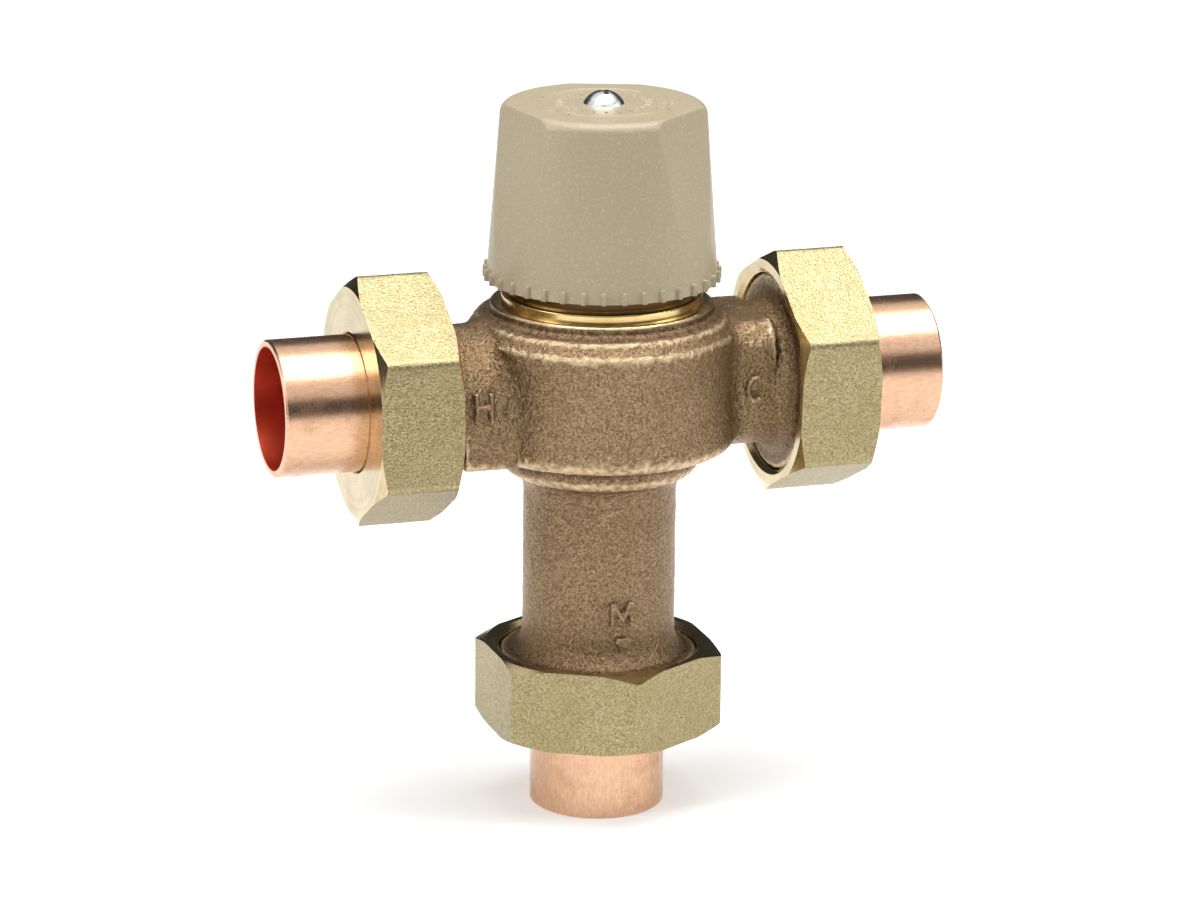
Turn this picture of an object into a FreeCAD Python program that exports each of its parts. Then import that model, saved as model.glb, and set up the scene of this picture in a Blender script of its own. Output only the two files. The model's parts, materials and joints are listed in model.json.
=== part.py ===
import FreeCAD, Part
import math
import os

# A mixing valve for hot and cold water: a bronze body with two inlets in line,
# an outlet below them and an adjusting knob above them. Each port ends in a
# union: a copper tail, a flat washer and a brass nut.
#
# Millimetres. +Z points up along the knob and the outlet, +X from the hot inlet
# to the cold one, and -Y is the front. The origin is the middle of the outlet's
# mouth. Heights below are counted from the axis of the inlets, where the two
# axes cross, and port distances from that crossing along the port.

# Tail: a socket for a copper tube, soldered in
tube_radius = 11.11
solder_gap = 0.06
socket_depth = 19.05
tail_wall = 1.28
tail_stop = 1.1
tail_bevel = 0.35
collar_radius = 16.8
collar_thickness = 2.25

# Union nut, washer and the threaded end that they close
inlet_face = 39.1
outlet_face = 56.7
union_radius = 18.2
union_gap = 0.15
washer_thickness = 2.0
washer_bore = 9.9
nut_across_flats = 40.7
nut_length = 15.3
nut_wall = 3.8
nut_corner_round = 1.5
nut_face_radius = 20.9
nut_chamfer = 1.2
nut_mouth_bevel = 0.8
nut_tail_gap = 0.2
hot_nut_turn = 0.6
cold_nut_turn = 4.1
mixed_nut_turn = 29.3

# Body casting, outside
barrel_radius = 24.8
barrel_top = 11.2
barrel_bottom = -11.0
barrel_low_round = 2.2
shoulder_step = 0.7
shoulder_height = 2.8
rim_radius = 20.2
rim_top = 16.0
rim_round = 0.6
step_radius = 18.2
step_height = 5.1
step_round = 2.4
neck_radius = 14.15
neck_fillet = 1.6
block_half_width = 13.0
hot_block_flat = 11.4
hot_block_round = 1.6
cold_block_flat = 12.6
cold_block_round = 4.8
block_end = 29.6
flange_length = 6.4
flange_fillet = 3.0
flange_bevel = 0.5

# Body casting, inside
gallery_radius = 21.8
gallery_top = 9.4
gallery_floor = -8.4
web_half = 2.4
outlet_bore = 10.8
window_half_width = 7.5
window_height = 6.0

# Check valve, in distances in from the inlet's face
check_bore = 9.5
check_gap = 0.1
rim_seat_radius = 11.0
rim_gap = 0.2
screen_rim = 0.6
screen_radius = 8.6
screen_depth = 2.4
screen_wall = 0.5
screen_hole = 0.85
screen_pitch = 2.75
check_flange = 1.0
check_entry = 8.2
check_web_start = 2.3
check_web = 1.8
check_seat_bore = 5.8
check_chamber = 7.9
check_seal_wire = 0.62
poppet_radius = 6.9
poppet_nose = 4.5
poppet_seal_height = 0.9
poppet_head = 1.2
poppet_stem = 1.5
poppet_travel = 2.4
poppet_stem_short = 0.6
check_end_gap = 0.3
guide_height = 2.0
guide_hub = 2.8
guide_rim = 0.9
guide_arm = 1.4
check_spring_radius = 3.7
check_spring_wire = 0.35
check_spring_turns = 3.5
check_spring_length = 4.8

# Shuttle and its two seats
shuttle_radius = 13.0
running_gap = 0.05
shuttle_half = 4.5
shuttle_bore = 10.6
port_gap = 1.7
shuttle_seal_wire = 0.72
hub_radius = 7.6
hub_height = 2.4
hub_top = -1.0
spoke_width = 2.0
spoke_count = 4
seat_lip_radius = 12.4
hot_seat_depth = 4.6
hot_seat_ledge = 3.0
hot_seat_bore = 8.0
hot_seat_spring_bore = 10.0

# Wax element
bulb_radius = 4.8
bulb_length = 29.0
bulb_round = 2.0
element_collar_radius = 7.2
element_collar = 2.2
element_guide_radius = 4.0
element_guide = 8.2
piston_radius = 2.0
piston_engaged = 6.2

# Spring cup, push disc and clip
cup_radius = 9.45
cup_top = 24.0
cup_bottom = 10.2
cup_wall = 1.65
cup_crown = 2.0
ear_width = 2.6
ear_reach = 1.1
ear_height = 3.5
ear_gap = 0.2
disc_thickness = 1.8
clip_top = 12.0
clip_thickness = 0.9
clip_width = 1.8
clip_opening = 5.0
part_gap = 0.25
overtravel_wire = 0.75
overtravel_turns = 3.0
return_spring_radius = 8.8
return_spring_wire = 0.65
return_spring_turns = 3.0

# Bonnet
bonnet_plug_radius = 17.2
bonnet_plug_gap = 0.1
bonnet_flange_radius = 18.35
bonnet_flange = 1.7
bonnet_wall_radius = 16.8
bonnet_wall_top = 23.5
bonnet_hex = 27.0
bonnet_hex_top = 30.0
bonnet_neck_radius = 8.5
bonnet_top = 36.5
bonnet_bore_top = 27.2
bonnet_seal_wire = 0.8
bonnet_seal_up = 1.9

# Adjusting stem
stem_collar_radius = 7.0
stem_collar = 2.0
stem_thread_radius = 5.0
stem_seal_wire = 0.6
stem_seal_inset = 1.9
drive_radius = 4.5
drive_flat = 3.6
drive_clear = 1.1

# Knob
knob_bottom = 20.3
knob_top = 52.5
knob_bottom_radius = 21.05
knob_top_radius = 18.6
knob_top_round = 1.7
knob_wall = 2.4
knob_end_wall = 3.1
knob_flat_count = 3
knob_flat_turn = 71.0
knob_flat_reach = 16.4
knob_flat_end = 22.6
knob_rib_count = 36
knob_rib_turn = 3.0
knob_rib_width = 0.76
knob_rib_height = 2.15
knob_rib_proud = 0.65
knob_rib_drop = 0.05
knob_hub_radius = 7.0
knob_hub_clear = 0.4
knob_stiffener_count = 6
knob_stiffener_width = 1.4
knob_stiffener_depth = 8.0
screw_head_radius = 3.75
screw_head_height = 2.3
screw_radius = 2.0
screw_length = 12.0
screw_slot_width = 0.9
screw_slot_length = 3.6
screw_slot_depth = 1.1

# What follows from them
stem_seal_height = bonnet_top - stem_seal_inset
drive_start = bonnet_top + drive_clear
stem_top = knob_top - knob_end_wall
knob_hub_bottom = drive_start + knob_hub_clear
socket_radius = tube_radius + solder_gap
tail_radius = socket_radius + tail_wall
tail_length = socket_depth + collar_thickness
inlet_height = outlet_face + washer_thickness + tail_length
nut_bore = union_radius + union_gap
body_bore = bonnet_plug_radius + bonnet_plug_gap
shuttle_way = shuttle_radius + running_gap
cup_way = cup_radius + running_gap
stem_way = stem_thread_radius + running_gap
hot_seat_top = -shuttle_half - port_gap
cold_seat_bottom = shuttle_half + port_gap
hot_seat_bottom = gallery_floor - hot_seat_depth
poppet_back = check_web_start + check_web + poppet_seal_height + poppet_head
guide_start = poppet_back + check_spring_length
guide_end = guide_start + guide_height
check_bore_depth = guide_end - poppet_stem_short + poppet_travel + check_end_gap
check_length = check_bore_depth - check_end_gap
CENTRE = FreeCAD.Vector(0, 0, 0)
RIGHT = FreeCAD.Vector(1, 0, 0)
BACK = FreeCAD.Vector(0, 1, 0)
UP = FreeCAD.Vector(0, 0, 1)
CROSSING = FreeCAD.Vector(0, 0, inlet_height)


# ---- Drawing and placing ----

def rounding(before, here, after, radius):
    """Start, middle and end of the arc that rounds a corner."""
    back = (before - here).normalize()
    ahead = (after - here).normalize()
    half_angle = back.getAngle(ahead) / 2
    reach = radius / math.tan(half_angle)
    inward = (back + ahead).normalize()
    middle = here + inward * (radius / math.sin(half_angle) - radius)
    return here + back * reach, middle, here + ahead * reach


def face_of(corners, point):
    """A flat face with straight sides; a corner is (a, b), or (a, b, radius) if it is rounded."""
    points = [point(corner[0], corner[1]) for corner in corners]
    edges = []
    ends = []
    arcs = []
    for n, corner in enumerate(corners):
        start = end = points[n]
        arc = None
        if len(corner) == 3 and corner[2] > 0:
            after = points[(n + 1) % len(points)]
            start, middle, end = rounding(points[n - 1], points[n], after, corner[2])
            arc = Part.Arc(start, middle, end).toShape()
        ends.append((start, end))
        arcs.append(arc)
    for n in range(len(corners)):
        if arcs[n]:
            edges.append(arcs[n])
        start = ends[n][1]
        end = ends[(n + 1) % len(ends)][0]
        if start.distanceToPoint(end) > 1e-6:
            edges.append(Part.LineSegment(start, end).toShape())
    return Part.Face(Part.Wire(edges))


def turned(*corners):
    """A solid turned about Z from an outline of (radius, height) corners."""
    outline = face_of(corners, lambda radius, height: FreeCAD.Vector(radius, 0, height))
    return outline.revolve(CENTRE, UP, 360)


def prism(corners, bottom, top):
    """A solid with an outline of (x, y) corners, from one height to another."""
    outline = face_of(corners, lambda x, y: FreeCAD.Vector(x, y, bottom))
    return outline.extrude(UP * (top - bottom))


def tube(outer, inner, bottom, top):
    """A plain ring."""
    return turned((inner, bottom), (outer, bottom), (outer, top), (inner, top))


def rod(radius, bottom, top):
    """A plain cylinder on the Z axis."""
    return Part.makeCylinder(radius, top - bottom, FreeCAD.Vector(0, 0, bottom))


def block(x_low, x_high, y_half, bottom, top):
    """A box that is centred on Y."""
    corner = FreeCAD.Vector(x_low, -y_half, bottom)
    return Part.makeBox(x_high - x_low, 2 * y_half, top - bottom, corner)


def hexagon(across_flats, rounded=0):
    """The corners of a hexagon, the first on +X."""
    reach = across_flats / 2 / math.cos(math.pi / 6)
    angles = [math.radians(60 * n) for n in range(6)]
    return [(reach * math.cos(a), reach * math.sin(a), rounded) for a in angles]


def spun(shape, degrees):
    """A copy of a shape, turned about Z."""
    copy = shape.copy()
    copy.rotate(CENTRE, UP, degrees)
    return copy


def around(shape, count, first=0):
    """Copies of a shape at even steps about Z."""
    return [spun(shape, first + n * 360 / count) for n in range(count)]


def coil(radius, wire, turns, bottom, top):
    """A compression spring of round wire: half turns that tilt from side to side as they climb."""
    halves = round(2 * turns)
    climb = (top - bottom - 2 * wire) / halves
    tilt = math.degrees(math.asin(climb / 2 / radius))
    half = Part.makeTorus(radius, wire, CENTRE, UP, 0, 360, 180)
    half.rotate(CENTRE, BACK, tilt)
    pieces = []
    for number in range(halves):
        piece = half.copy()
        piece.rotate(CENTRE, UP, 180 * number)
        piece.translate(UP * (bottom + wire + (number + 0.5) * climb))
        pieces.append(piece)
    return pieces[0].multiFuse(pieces[1:])


def ring_seal(radius, wire, height):
    """An O-ring: the radius is to the middle of its section."""
    return Part.makeTorus(radius, wire, FreeCAD.Vector(0, 0, height))


def at_port(shape, port):
    """A copy of a shape whose Z is the distance along a port, laid on that port."""
    turn = {"hot": -90, "cold": 90, "mixed": 180}[port]
    copy = shape.copy()
    copy.rotate(CENTRE, BACK, turn)
    return copy


def keep(name, shape):
    """Write one piece, raised so that the outlet's mouth is at height 0."""
    piece = shape.copy()
    piece.translate(CROSSING)
    piece.exportStep("parts/" + name + ".step")
    print(name, round(piece.Volume / 1000, 3), "cm3")


# ---- Unions ----

def tailpiece(face):
    """Copper tail with a collar at its inner end and a stop for the tube."""
    inner = face + washer_thickness
    collar_end = inner + collar_thickness
    mouth = inner + tail_length
    stop_bore = socket_radius - tail_stop
    return turned(
        (stop_bore, inner), (collar_radius, inner), (collar_radius, collar_end),
        (tail_radius, collar_end), (tail_radius, mouth - tail_bevel),
        (tail_radius - tail_bevel, mouth), (socket_radius, mouth),
        (socket_radius, collar_end), (stop_bore, collar_end))


def union_nut(face, turn):
    """Hexagon nut: threaded cavity, a wall behind the tail's collar, corners cut back by a cone."""
    shoulder = face + washer_thickness + collar_thickness
    outer = shoulder + nut_wall
    inner = outer - nut_length
    flats = prism(hexagon(nut_across_flats, nut_corner_round), inner, outer)
    reach = nut_across_flats / math.sqrt(3)
    cone = turned(
        (0, inner), (nut_face_radius, inner), (reach, inner + nut_chamfer),
        (reach, outer - nut_chamfer), (nut_face_radius, outer), (0, outer))
    cavity = turned(
        (0, inner), (nut_bore + nut_mouth_bevel, inner), (nut_bore, inner + nut_mouth_bevel),
        (nut_bore, shoulder), (tail_radius + nut_tail_gap, shoulder),
        (tail_radius + nut_tail_gap, outer), (0, outer))
    return spun(flats.common(cone).cut(cavity), turn)


def union_washer(face):
    """Flat washer between the body's face and the tail's collar."""
    return tube(collar_radius, washer_bore, face, face + washer_thickness)


def make_union(port, face, turn):
    """One union: tail, nut and washer."""
    keep(port + "_tailpiece", at_port(tailpiece(face), port))
    keep(port + "_union_nut", at_port(union_nut(face, turn), port))
    keep(port + "_washer", at_port(union_washer(face), port))


# ---- Body ----

def barrel():
    """Barrel, shoulder, rim, step and outlet neck, as one turned form."""
    ledge = barrel_radius - shoulder_step
    shoulder_top = barrel_top + shoulder_height
    step_bottom = barrel_bottom - step_height
    return turned(
        (0, rim_top), (rim_radius, rim_top, rim_round), (rim_radius, shoulder_top, 0.5),
        (ledge - shoulder_height * 0.4, shoulder_top - 0.3, shoulder_height * 0.6),
        (ledge, barrel_top + 0.5, 0.6), (barrel_radius, barrel_top, 0.5),
        (barrel_radius, barrel_bottom, barrel_low_round), (step_radius, barrel_bottom),
        (step_radius, step_bottom, step_round), (neck_radius, step_bottom, neck_fillet),
        (neck_radius, -outlet_face), (0, -outlet_face))


def inlet_block(flat, rounded):
    """The outside of an inlet neck along +X: round above, flat below."""
    half = block_half_width
    square = [(-half, -flat, rounded), (half, -flat, rounded), (half, 0), (-half, 0)]
    outline = face_of(square, lambda y, z: FreeCAD.Vector(0, y, z))
    base = outline.extrude(FreeCAD.Vector(block_end, 0, 0))
    top = Part.makeCylinder(half, block_end, CENTRE, RIGHT)
    return base.fuse(top).removeSplitter()


def union_flange(face, neck):
    """Threaded end of a port, whose back runs into the neck with a fillet."""
    back = face - flange_length
    return turned(
        (0, back - 2 * flange_fillet), (neck, back - 2 * flange_fillet),
        (neck, back, flange_fillet), (union_radius, back), (union_radius, face - flange_bevel),
        (union_radius - flange_bevel, face), (0, face))


def inlet_bore():
    """Bore for the check valve, with the seat for its flange and the screen's rim."""
    seat = inlet_face - screen_rim - check_flange
    return turned(
        (0, inlet_face - check_bore_depth), (check_bore, inlet_face - check_bore_depth),
        (check_bore, seat), (rim_seat_radius, seat), (rim_seat_radius, inlet_face), (0, inlet_face))


def window(low, high):
    """Way from an inlet bore into one gallery, along +X."""
    outer = inlet_face - check_bore_depth + 1
    return block(gallery_radius - 4, outer, window_half_width, low, high)


def passages():
    """Two ring galleries, the shuttle's way between them, the hot seat's thread and the outlet."""
    upper = rod(gallery_radius, web_half, gallery_top)
    lower = rod(gallery_radius, gallery_floor, -web_half)
    middle = rod(shuttle_way, hot_seat_bottom, gallery_top)
    mouth = rod(body_bore, gallery_top, rim_top)
    outlet = rod(outlet_bore, -outlet_face, hot_seat_bottom)
    return upper.fuse([lower, middle, mouth, outlet])


def valve_body():
    """The casting: hot water enters the lower gallery and cold water the upper one."""
    cold_block = inlet_block(cold_block_flat, cold_block_round)
    cold_block.rotate(CENTRE, RIGHT, 180)
    hot_block = spun(inlet_block(hot_block_flat, hot_block_round), 180)
    inlet_end = union_flange(inlet_face, block_half_width)
    outlet_end = union_flange(outlet_face, neck_radius)
    outside = barrel().fuse([
        cold_block, hot_block, at_port(inlet_end, "hot"), at_port(inlet_end, "cold"),
        at_port(outlet_end, "mixed")]).removeSplitter()
    bore = inlet_bore()
    cold_window = window(web_half, web_half + window_height)
    hot_window = spun(window(-web_half - window_height, -web_half), 180)
    inside = passages().fuse([
        at_port(bore, "hot"), at_port(bore, "cold"), cold_window, hot_window])
    return outside.cut(inside)


# ---- Check valves, drawn with Z outwards and the inlet's face at its port distance ----

def inward(distance):
    """Port distance of a point that lies that far in from the inlet's face."""
    return inlet_face - distance


def check_screen():
    """Strainer cup: a pierced end, pushed out into the tail, and a rim held by the washer."""
    rim_reach = rim_seat_radius - rim_gap
    top = inlet_face + screen_depth
    inner = screen_radius - screen_wall
    cup = turned(
        (inner, inward(screen_rim)), (rim_reach, inward(screen_rim)),
        (rim_reach, inlet_face), (screen_radius, inlet_face), (screen_radius, top),
        (0, top), (0, top - screen_wall), (inner, top - screen_wall))
    hole = rod(screen_hole, top - screen_wall, top)
    holes = [hole]
    for ring in (1, 2):
        outward = hole.copy()
        outward.translate(FreeCAD.Vector(ring * screen_pitch, 0, 0))
        holes += around(outward, 6 * ring)
    return cup.cut(holes)


def check_body():
    """Cartridge: flange, seat web with an O-ring groove round it, and spring chamber."""
    radius = check_bore - check_gap
    flange_out = inward(screen_rim)
    flange_in = inward(screen_rim + check_flange)
    web_out = inward(check_web_start)
    web_in = inward(check_web_start + check_web)
    shell = turned(
        (check_entry, flange_out), (rim_seat_radius - rim_gap, flange_out),
        (rim_seat_radius - rim_gap, flange_in), (radius, flange_in),
        (radius, inward(check_length)), (check_chamber, inward(check_length)),
        (check_chamber, web_in), (check_seat_bore, web_in),
        (check_seat_bore, web_out), (check_entry, web_out))
    wire = check_seal_wire
    middle = (web_out + web_in) / 2
    groove = tube(radius + 1, check_bore - 2 * wire - running_gap, middle - wire, middle + wire)
    return shell.cut(groove)


def check_seal():
    """O-ring round the cartridge."""
    middle = inward(check_web_start + check_web / 2)
    return ring_seal(check_bore - check_seal_wire - running_gap / 2, check_seal_wire, middle)


def check_guide():
    """Spider that the poppet's stem slides in."""
    top = inward(guide_start)
    bottom = top - guide_height
    rim = check_chamber - running_gap
    arm = block(poppet_stem + 0.5, rim - guide_rim / 2, guide_arm / 2, bottom, top)
    spider = tube(rim, rim - guide_rim, bottom, top).fuse(
        [rod(guide_hub, bottom, top)] + around(arm, 3)).removeSplitter()
    return spider.cut(rod(poppet_stem + running_gap, bottom, top))


def check_poppet():
    """Nose, head and stem of the poppet, closed against the seat."""
    seat = inward(check_web_start + check_web)
    head_top = seat - poppet_seal_height
    head_bottom = head_top - poppet_head
    stem_end = inward(guide_end - poppet_stem_short)
    return turned(
        (0, seat + 1.0), (poppet_nose, seat + 0.4, 0.3), (poppet_nose, head_top),
        (poppet_radius, head_top), (poppet_radius, head_bottom), (poppet_stem, head_bottom),
        (poppet_stem, stem_end), (0, stem_end))


def poppet_seal():
    """Rubber ring that the poppet closes with."""
    seat = inward(check_web_start + check_web)
    return tube(poppet_radius, poppet_nose, seat - poppet_seal_height, seat)


def check_spring():
    """Spring between the poppet's head and the guide."""
    return coil(check_spring_radius, check_spring_wire, check_spring_turns,
                inward(guide_start), inward(poppet_back))


def make_check(port):
    """Strainer and check valve of one inlet."""
    pieces = {
        "screen": check_screen, "check_body": check_body, "check_seal": check_seal,
        "check_guide": check_guide, "check_poppet": check_poppet,
        "poppet_seal": poppet_seal, "check_spring": check_spring}
    for name, make in pieces.items():
        keep(port + "_" + name, at_port(make(), port))


# ---- Shuttle, seats and wax element ----

def shuttle():
    """Sleeve with an O-ring groove, and a hub on spokes that holds the wax element."""
    groove_floor = shuttle_radius - 2 * shuttle_seal_wire - running_gap
    sleeve = tube(shuttle_radius, shuttle_bore, -shuttle_half, shuttle_half)
    groove = tube(shuttle_radius + 1, groove_floor, -shuttle_seal_wire, shuttle_seal_wire)
    hub_bottom = hub_top - hub_height
    hub = rod(hub_radius, hub_bottom, hub_top)
    spoke = block(bulb_radius + 1, shuttle_bore + 0.5, spoke_width / 2, hub_bottom, hub_top)
    whole = sleeve.fuse([hub] + around(spoke, spoke_count, 45)).removeSplitter()
    return whole.cut([groove, rod(bulb_radius + running_gap, hub_bottom, hub_top)])


def shuttle_seal():
    """O-ring of the shuttle, a running fit in the body's web."""
    return ring_seal(shuttle_radius - shuttle_seal_wire, shuttle_seal_wire, 0)


def hot_seat():
    """Threaded ring: a lip that the shuttle closes on and a ledge for the return spring."""
    threaded = shuttle_radius - running_gap
    ledge_top = hot_seat_bottom + hot_seat_ledge
    return turned(
        (hot_seat_bore, hot_seat_bottom), (threaded, hot_seat_bottom), (threaded, gallery_floor),
        (seat_lip_radius, gallery_floor), (seat_lip_radius, hot_seat_top),
        (shuttle_bore, hot_seat_top), (hot_seat_spring_bore, hot_seat_top - 0.6),
        (hot_seat_spring_bore, ledge_top), (hot_seat_bore, ledge_top))


def return_spring():
    """Spring that lifts the shuttle off the hot seat."""
    return coil(return_spring_radius, return_spring_wire, return_spring_turns,
                hot_seat_bottom + hot_seat_ledge, hub_top - hub_height)


def wax_element():
    """Bulb, collar and guide of the wax element, with the piston's bore."""
    collar_top = hub_top + element_collar
    guide_top = collar_top + element_guide
    bore_bottom = guide_top - piston_engaged - 1
    return turned(
        (0, hub_top - bulb_length), (bulb_radius, hub_top - bulb_length, bulb_round),
        (bulb_radius, hub_top), (element_collar_radius, hub_top),
        (element_collar_radius, collar_top, 0.5), (element_guide_radius, collar_top),
        (element_guide_radius, guide_top), (piston_radius + running_gap, guide_top),
        (piston_radius + running_gap, bore_bottom), (0, bore_bottom))


def element_piston():
    """Pin from the wax element up to the push disc."""
    guide_top = hub_top + element_collar + element_guide
    return rod(piston_radius, guide_top - piston_engaged, clip_top)


# ---- Spring cup ----

def spring_cup():
    """Cup with a clip groove near its mouth and two ears that keep it from turning."""
    inner = cup_radius - cup_wall
    shell = turned(
        (inner, cup_bottom), (cup_radius, cup_bottom), (cup_radius, cup_top), (0, cup_top),
        (0, cup_top - cup_crown), (inner, cup_top - cup_crown))
    ear = block(inner + 0.5, cup_radius + ear_reach, ear_width / 2, cup_top - ear_height, cup_top)
    groove = tube(inner + cup_wall / 2, inner - 1, clip_top - clip_thickness, clip_top)
    return shell.fuse(around(ear, 2)).removeSplitter().cut(groove)


def retaining_clip():
    """Open spring ring in the cup's groove."""
    outer = cup_radius - cup_wall / 2 - running_gap
    ring = tube(outer, outer - clip_width, clip_top - clip_thickness, clip_top)
    return ring.cut(block(0, outer + 1, clip_opening / 2, clip_top - clip_thickness, clip_top))


def push_disc():
    """Disc that the piston pushes on and the overtravel spring holds down."""
    return rod(cup_radius - cup_wall - part_gap, clip_top, clip_top + disc_thickness)


def overtravel_spring():
    """Spring that gives way when the shuttle is already closed on the hot seat."""
    radius = cup_radius - cup_wall - part_gap - overtravel_wire
    return coil(radius, overtravel_wire, overtravel_turns,
                clip_top + disc_thickness, cup_top - cup_crown)


# ---- Bonnet and stem ----

def bonnet():
    """Plug with the cold seat at its nose, a flange on the body's rim and the stem's neck on top."""
    flange_top = rim_top + bonnet_flange
    outside = turned(
        (0, cold_seat_bottom), (seat_lip_radius, cold_seat_bottom), (seat_lip_radius, gallery_top),
        (bonnet_plug_radius, gallery_top), (bonnet_plug_radius, rim_top),
        (bonnet_flange_radius, rim_top), (bonnet_flange_radius, flange_top, 0.4),
        (bonnet_wall_radius, flange_top), (bonnet_wall_radius, bonnet_wall_top, 0.6),
        (bonnet_neck_radius, bonnet_wall_top), (bonnet_neck_radius, bonnet_top, 0.6),
        (0, bonnet_top))
    flats = prism(hexagon(bonnet_hex), bonnet_wall_top, bonnet_hex_top)
    wire = bonnet_seal_wire
    seal_height = gallery_top + bonnet_seal_up
    groove = tube(bonnet_plug_radius + 1, body_bore - 2 * wire - running_gap,
                  seal_height - wire, seal_height + wire)
    bore = rod(cup_way, cold_seat_bottom, bonnet_bore_top)
    slot = block(0, cup_radius + ear_reach + ear_gap, ear_width / 2 + ear_gap,
                 cold_seat_bottom, bonnet_bore_top)
    stem_bore = rod(stem_way, bonnet_bore_top, bonnet_top)
    whole = outside.fuse(flats).removeSplitter()
    return whole.cut([groove, bore, stem_bore] + around(slot, 2))


def bonnet_seal():
    """O-ring between the bonnet and the body."""
    return ring_seal(body_bore - bonnet_seal_wire - running_gap / 2, bonnet_seal_wire,
                     gallery_top + bonnet_seal_up)


def adjusting_stem():
    """Collar that presses on the cup, threaded shank, O-ring groove and flatted drive."""
    collar_top = cup_top + stem_collar
    shank = turned(
        (0, cup_top), (stem_collar_radius, cup_top), (stem_collar_radius, collar_top),
        (stem_thread_radius, collar_top), (stem_thread_radius, drive_start),
        (drive_radius, drive_start), (drive_radius, stem_top, 0.4), (0, stem_top))
    wire = stem_seal_wire
    groove = tube(stem_thread_radius + 1, stem_way - 2 * wire - 2 * running_gap,
                  stem_seal_height - wire, stem_seal_height + wire)
    flat = block(drive_flat, drive_radius + 1, drive_radius + 1, drive_start, stem_top)
    tapped = rod(screw_radius + running_gap, stem_top - screw_length, stem_top)
    return shank.cut([groove, tapped] + around(flat, 2))


def stem_seal():
    """O-ring of the stem, a running fit in the bonnet."""
    return ring_seal(stem_thread_radius - stem_seal_wire, stem_seal_wire, stem_seal_height)


# ---- Knob ----

def knob_form(inset, bottom, top):
    """The knob's tapered form with its flats, inset all over by a wall or by nothing."""
    slope = (knob_bottom_radius - knob_top_radius) / (knob_top - knob_bottom)
    low = knob_bottom_radius - slope * (bottom - knob_bottom) - inset
    high = knob_bottom_radius - slope * (top - knob_bottom) - inset
    rounded = max(knob_top_round - inset, 0.3)
    form = turned((0, bottom), (low, bottom), (high, top, rounded), (0, top))
    flat_low = knob_bottom_radius - slope * (knob_flat_end - knob_bottom) - inset
    flat_high = knob_flat_reach - inset
    lean = (flat_low - flat_high) / (knob_top - knob_flat_end)
    wide = 2 * knob_bottom_radius
    side = [(flat_low, knob_flat_end), (flat_high - lean, knob_top + 1), (wide, knob_top + 1),
            (wide, knob_flat_end)]
    outline = face_of(side, lambda x, z: FreeCAD.Vector(x, -wide, z))
    cutter = outline.extrude(FreeCAD.Vector(0, 2 * wide, 0))
    return form.cut(around(cutter, knob_flat_count, knob_flat_turn))


def knob_rib():
    """One rib of the skirt, round at its top end."""
    half = knob_rib_width / 2
    rounded = half * 0.98
    bottom = knob_bottom - knob_rib_drop
    top = bottom + knob_rib_height
    start = knob_bottom_radius - 1
    outer = knob_bottom_radius + knob_rib_proud
    outline = face_of(
        [(-half, bottom), (half, bottom), (half, top, rounded), (-half, top, rounded)],
        lambda y, z: FreeCAD.Vector(start, y, z))
    return outline.extrude(FreeCAD.Vector(outer - start, 0, 0))


def knob():
    """Hollow cap: flats, ribs, a hub that fits the stem's drive, and stiffeners inside."""
    ceiling = knob_top - knob_wall
    hollow = knob_form(knob_wall, knob_bottom, ceiling)
    shell = knob_form(0, knob_bottom, knob_top).cut(hollow)
    hub = rod(knob_hub_radius, knob_hub_bottom, ceiling + 0.5)
    stiffener = block(0, knob_bottom_radius, knob_stiffener_width / 2,
                      ceiling - knob_stiffener_depth, ceiling + 0.5)
    inner = [hub] + around(stiffener, knob_stiffener_count)
    fitted = hub.fuse(inner).common(knob_form(knob_wall / 2, knob_bottom, ceiling + 0.5))
    ribs = around(knob_rib(), knob_rib_count, knob_rib_turn)
    whole = shell.fuse([fitted] + ribs).removeSplitter()
    drive = rod(drive_radius + running_gap, knob_hub_bottom, stem_top)
    flat = block(drive_flat + running_gap, drive_radius + 1, drive_radius + 1,
                 knob_hub_bottom, stem_top)
    drive = drive.cut(around(flat, 2))
    return whole.cut([drive, rod(screw_radius + part_gap, stem_top, knob_top)])


def knob_screw():
    """Domed screw with a cross recess."""
    base = knob_top
    crown = base + screw_head_height
    dome_radius = (screw_head_radius ** 2 + screw_head_height ** 2) / (2 * screw_head_height)
    ball = Part.makeSphere(dome_radius, FreeCAD.Vector(0, 0, crown - dome_radius))
    dome = ball.common(rod(screw_head_radius + 1, base, crown + 1))
    shank_end = base - screw_length + 1
    recess = block(-screw_slot_length / 2, screw_slot_length / 2, screw_slot_width / 2,
                   crown - screw_slot_depth, crown)
    return dome.fuse(rod(screw_radius, shank_end, base)).cut([recess, spun(recess, 90)])


# ---- Everything ----

os.makedirs("parts", exist_ok=True)
keep("valve_body", valve_body())
make_union("hot", inlet_face, hot_nut_turn)
make_union("cold", inlet_face, cold_nut_turn)
make_union("mixed", outlet_face, mixed_nut_turn)
make_check("hot")
make_check("cold")
keep("shuttle", shuttle())
keep("shuttle_seal", shuttle_seal())
keep("hot_seat", hot_seat())
keep("return_spring", return_spring())
keep("wax_element", wax_element())
keep("element_piston", element_piston())
keep("spring_cup", spring_cup())
keep("retaining_clip", retaining_clip())
keep("push_disc", push_disc())
keep("overtravel_spring", overtravel_spring())
keep("bonnet", bonnet())
keep("bonnet_seal", bonnet_seal())
keep("adjusting_stem", adjusting_stem())
keep("stem_seal", stem_seal())
keep("knob", knob())
keep("knob_screw", knob_screw())
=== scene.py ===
# %% [markdown]
# # A mixing valve for hot and cold water
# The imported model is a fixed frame: forty solids at their real size. This script
# gives them their looks. The main forms are made again the way a foundry makes
# them: a rough blank with its skin, then the cuts of the lathe.

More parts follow.
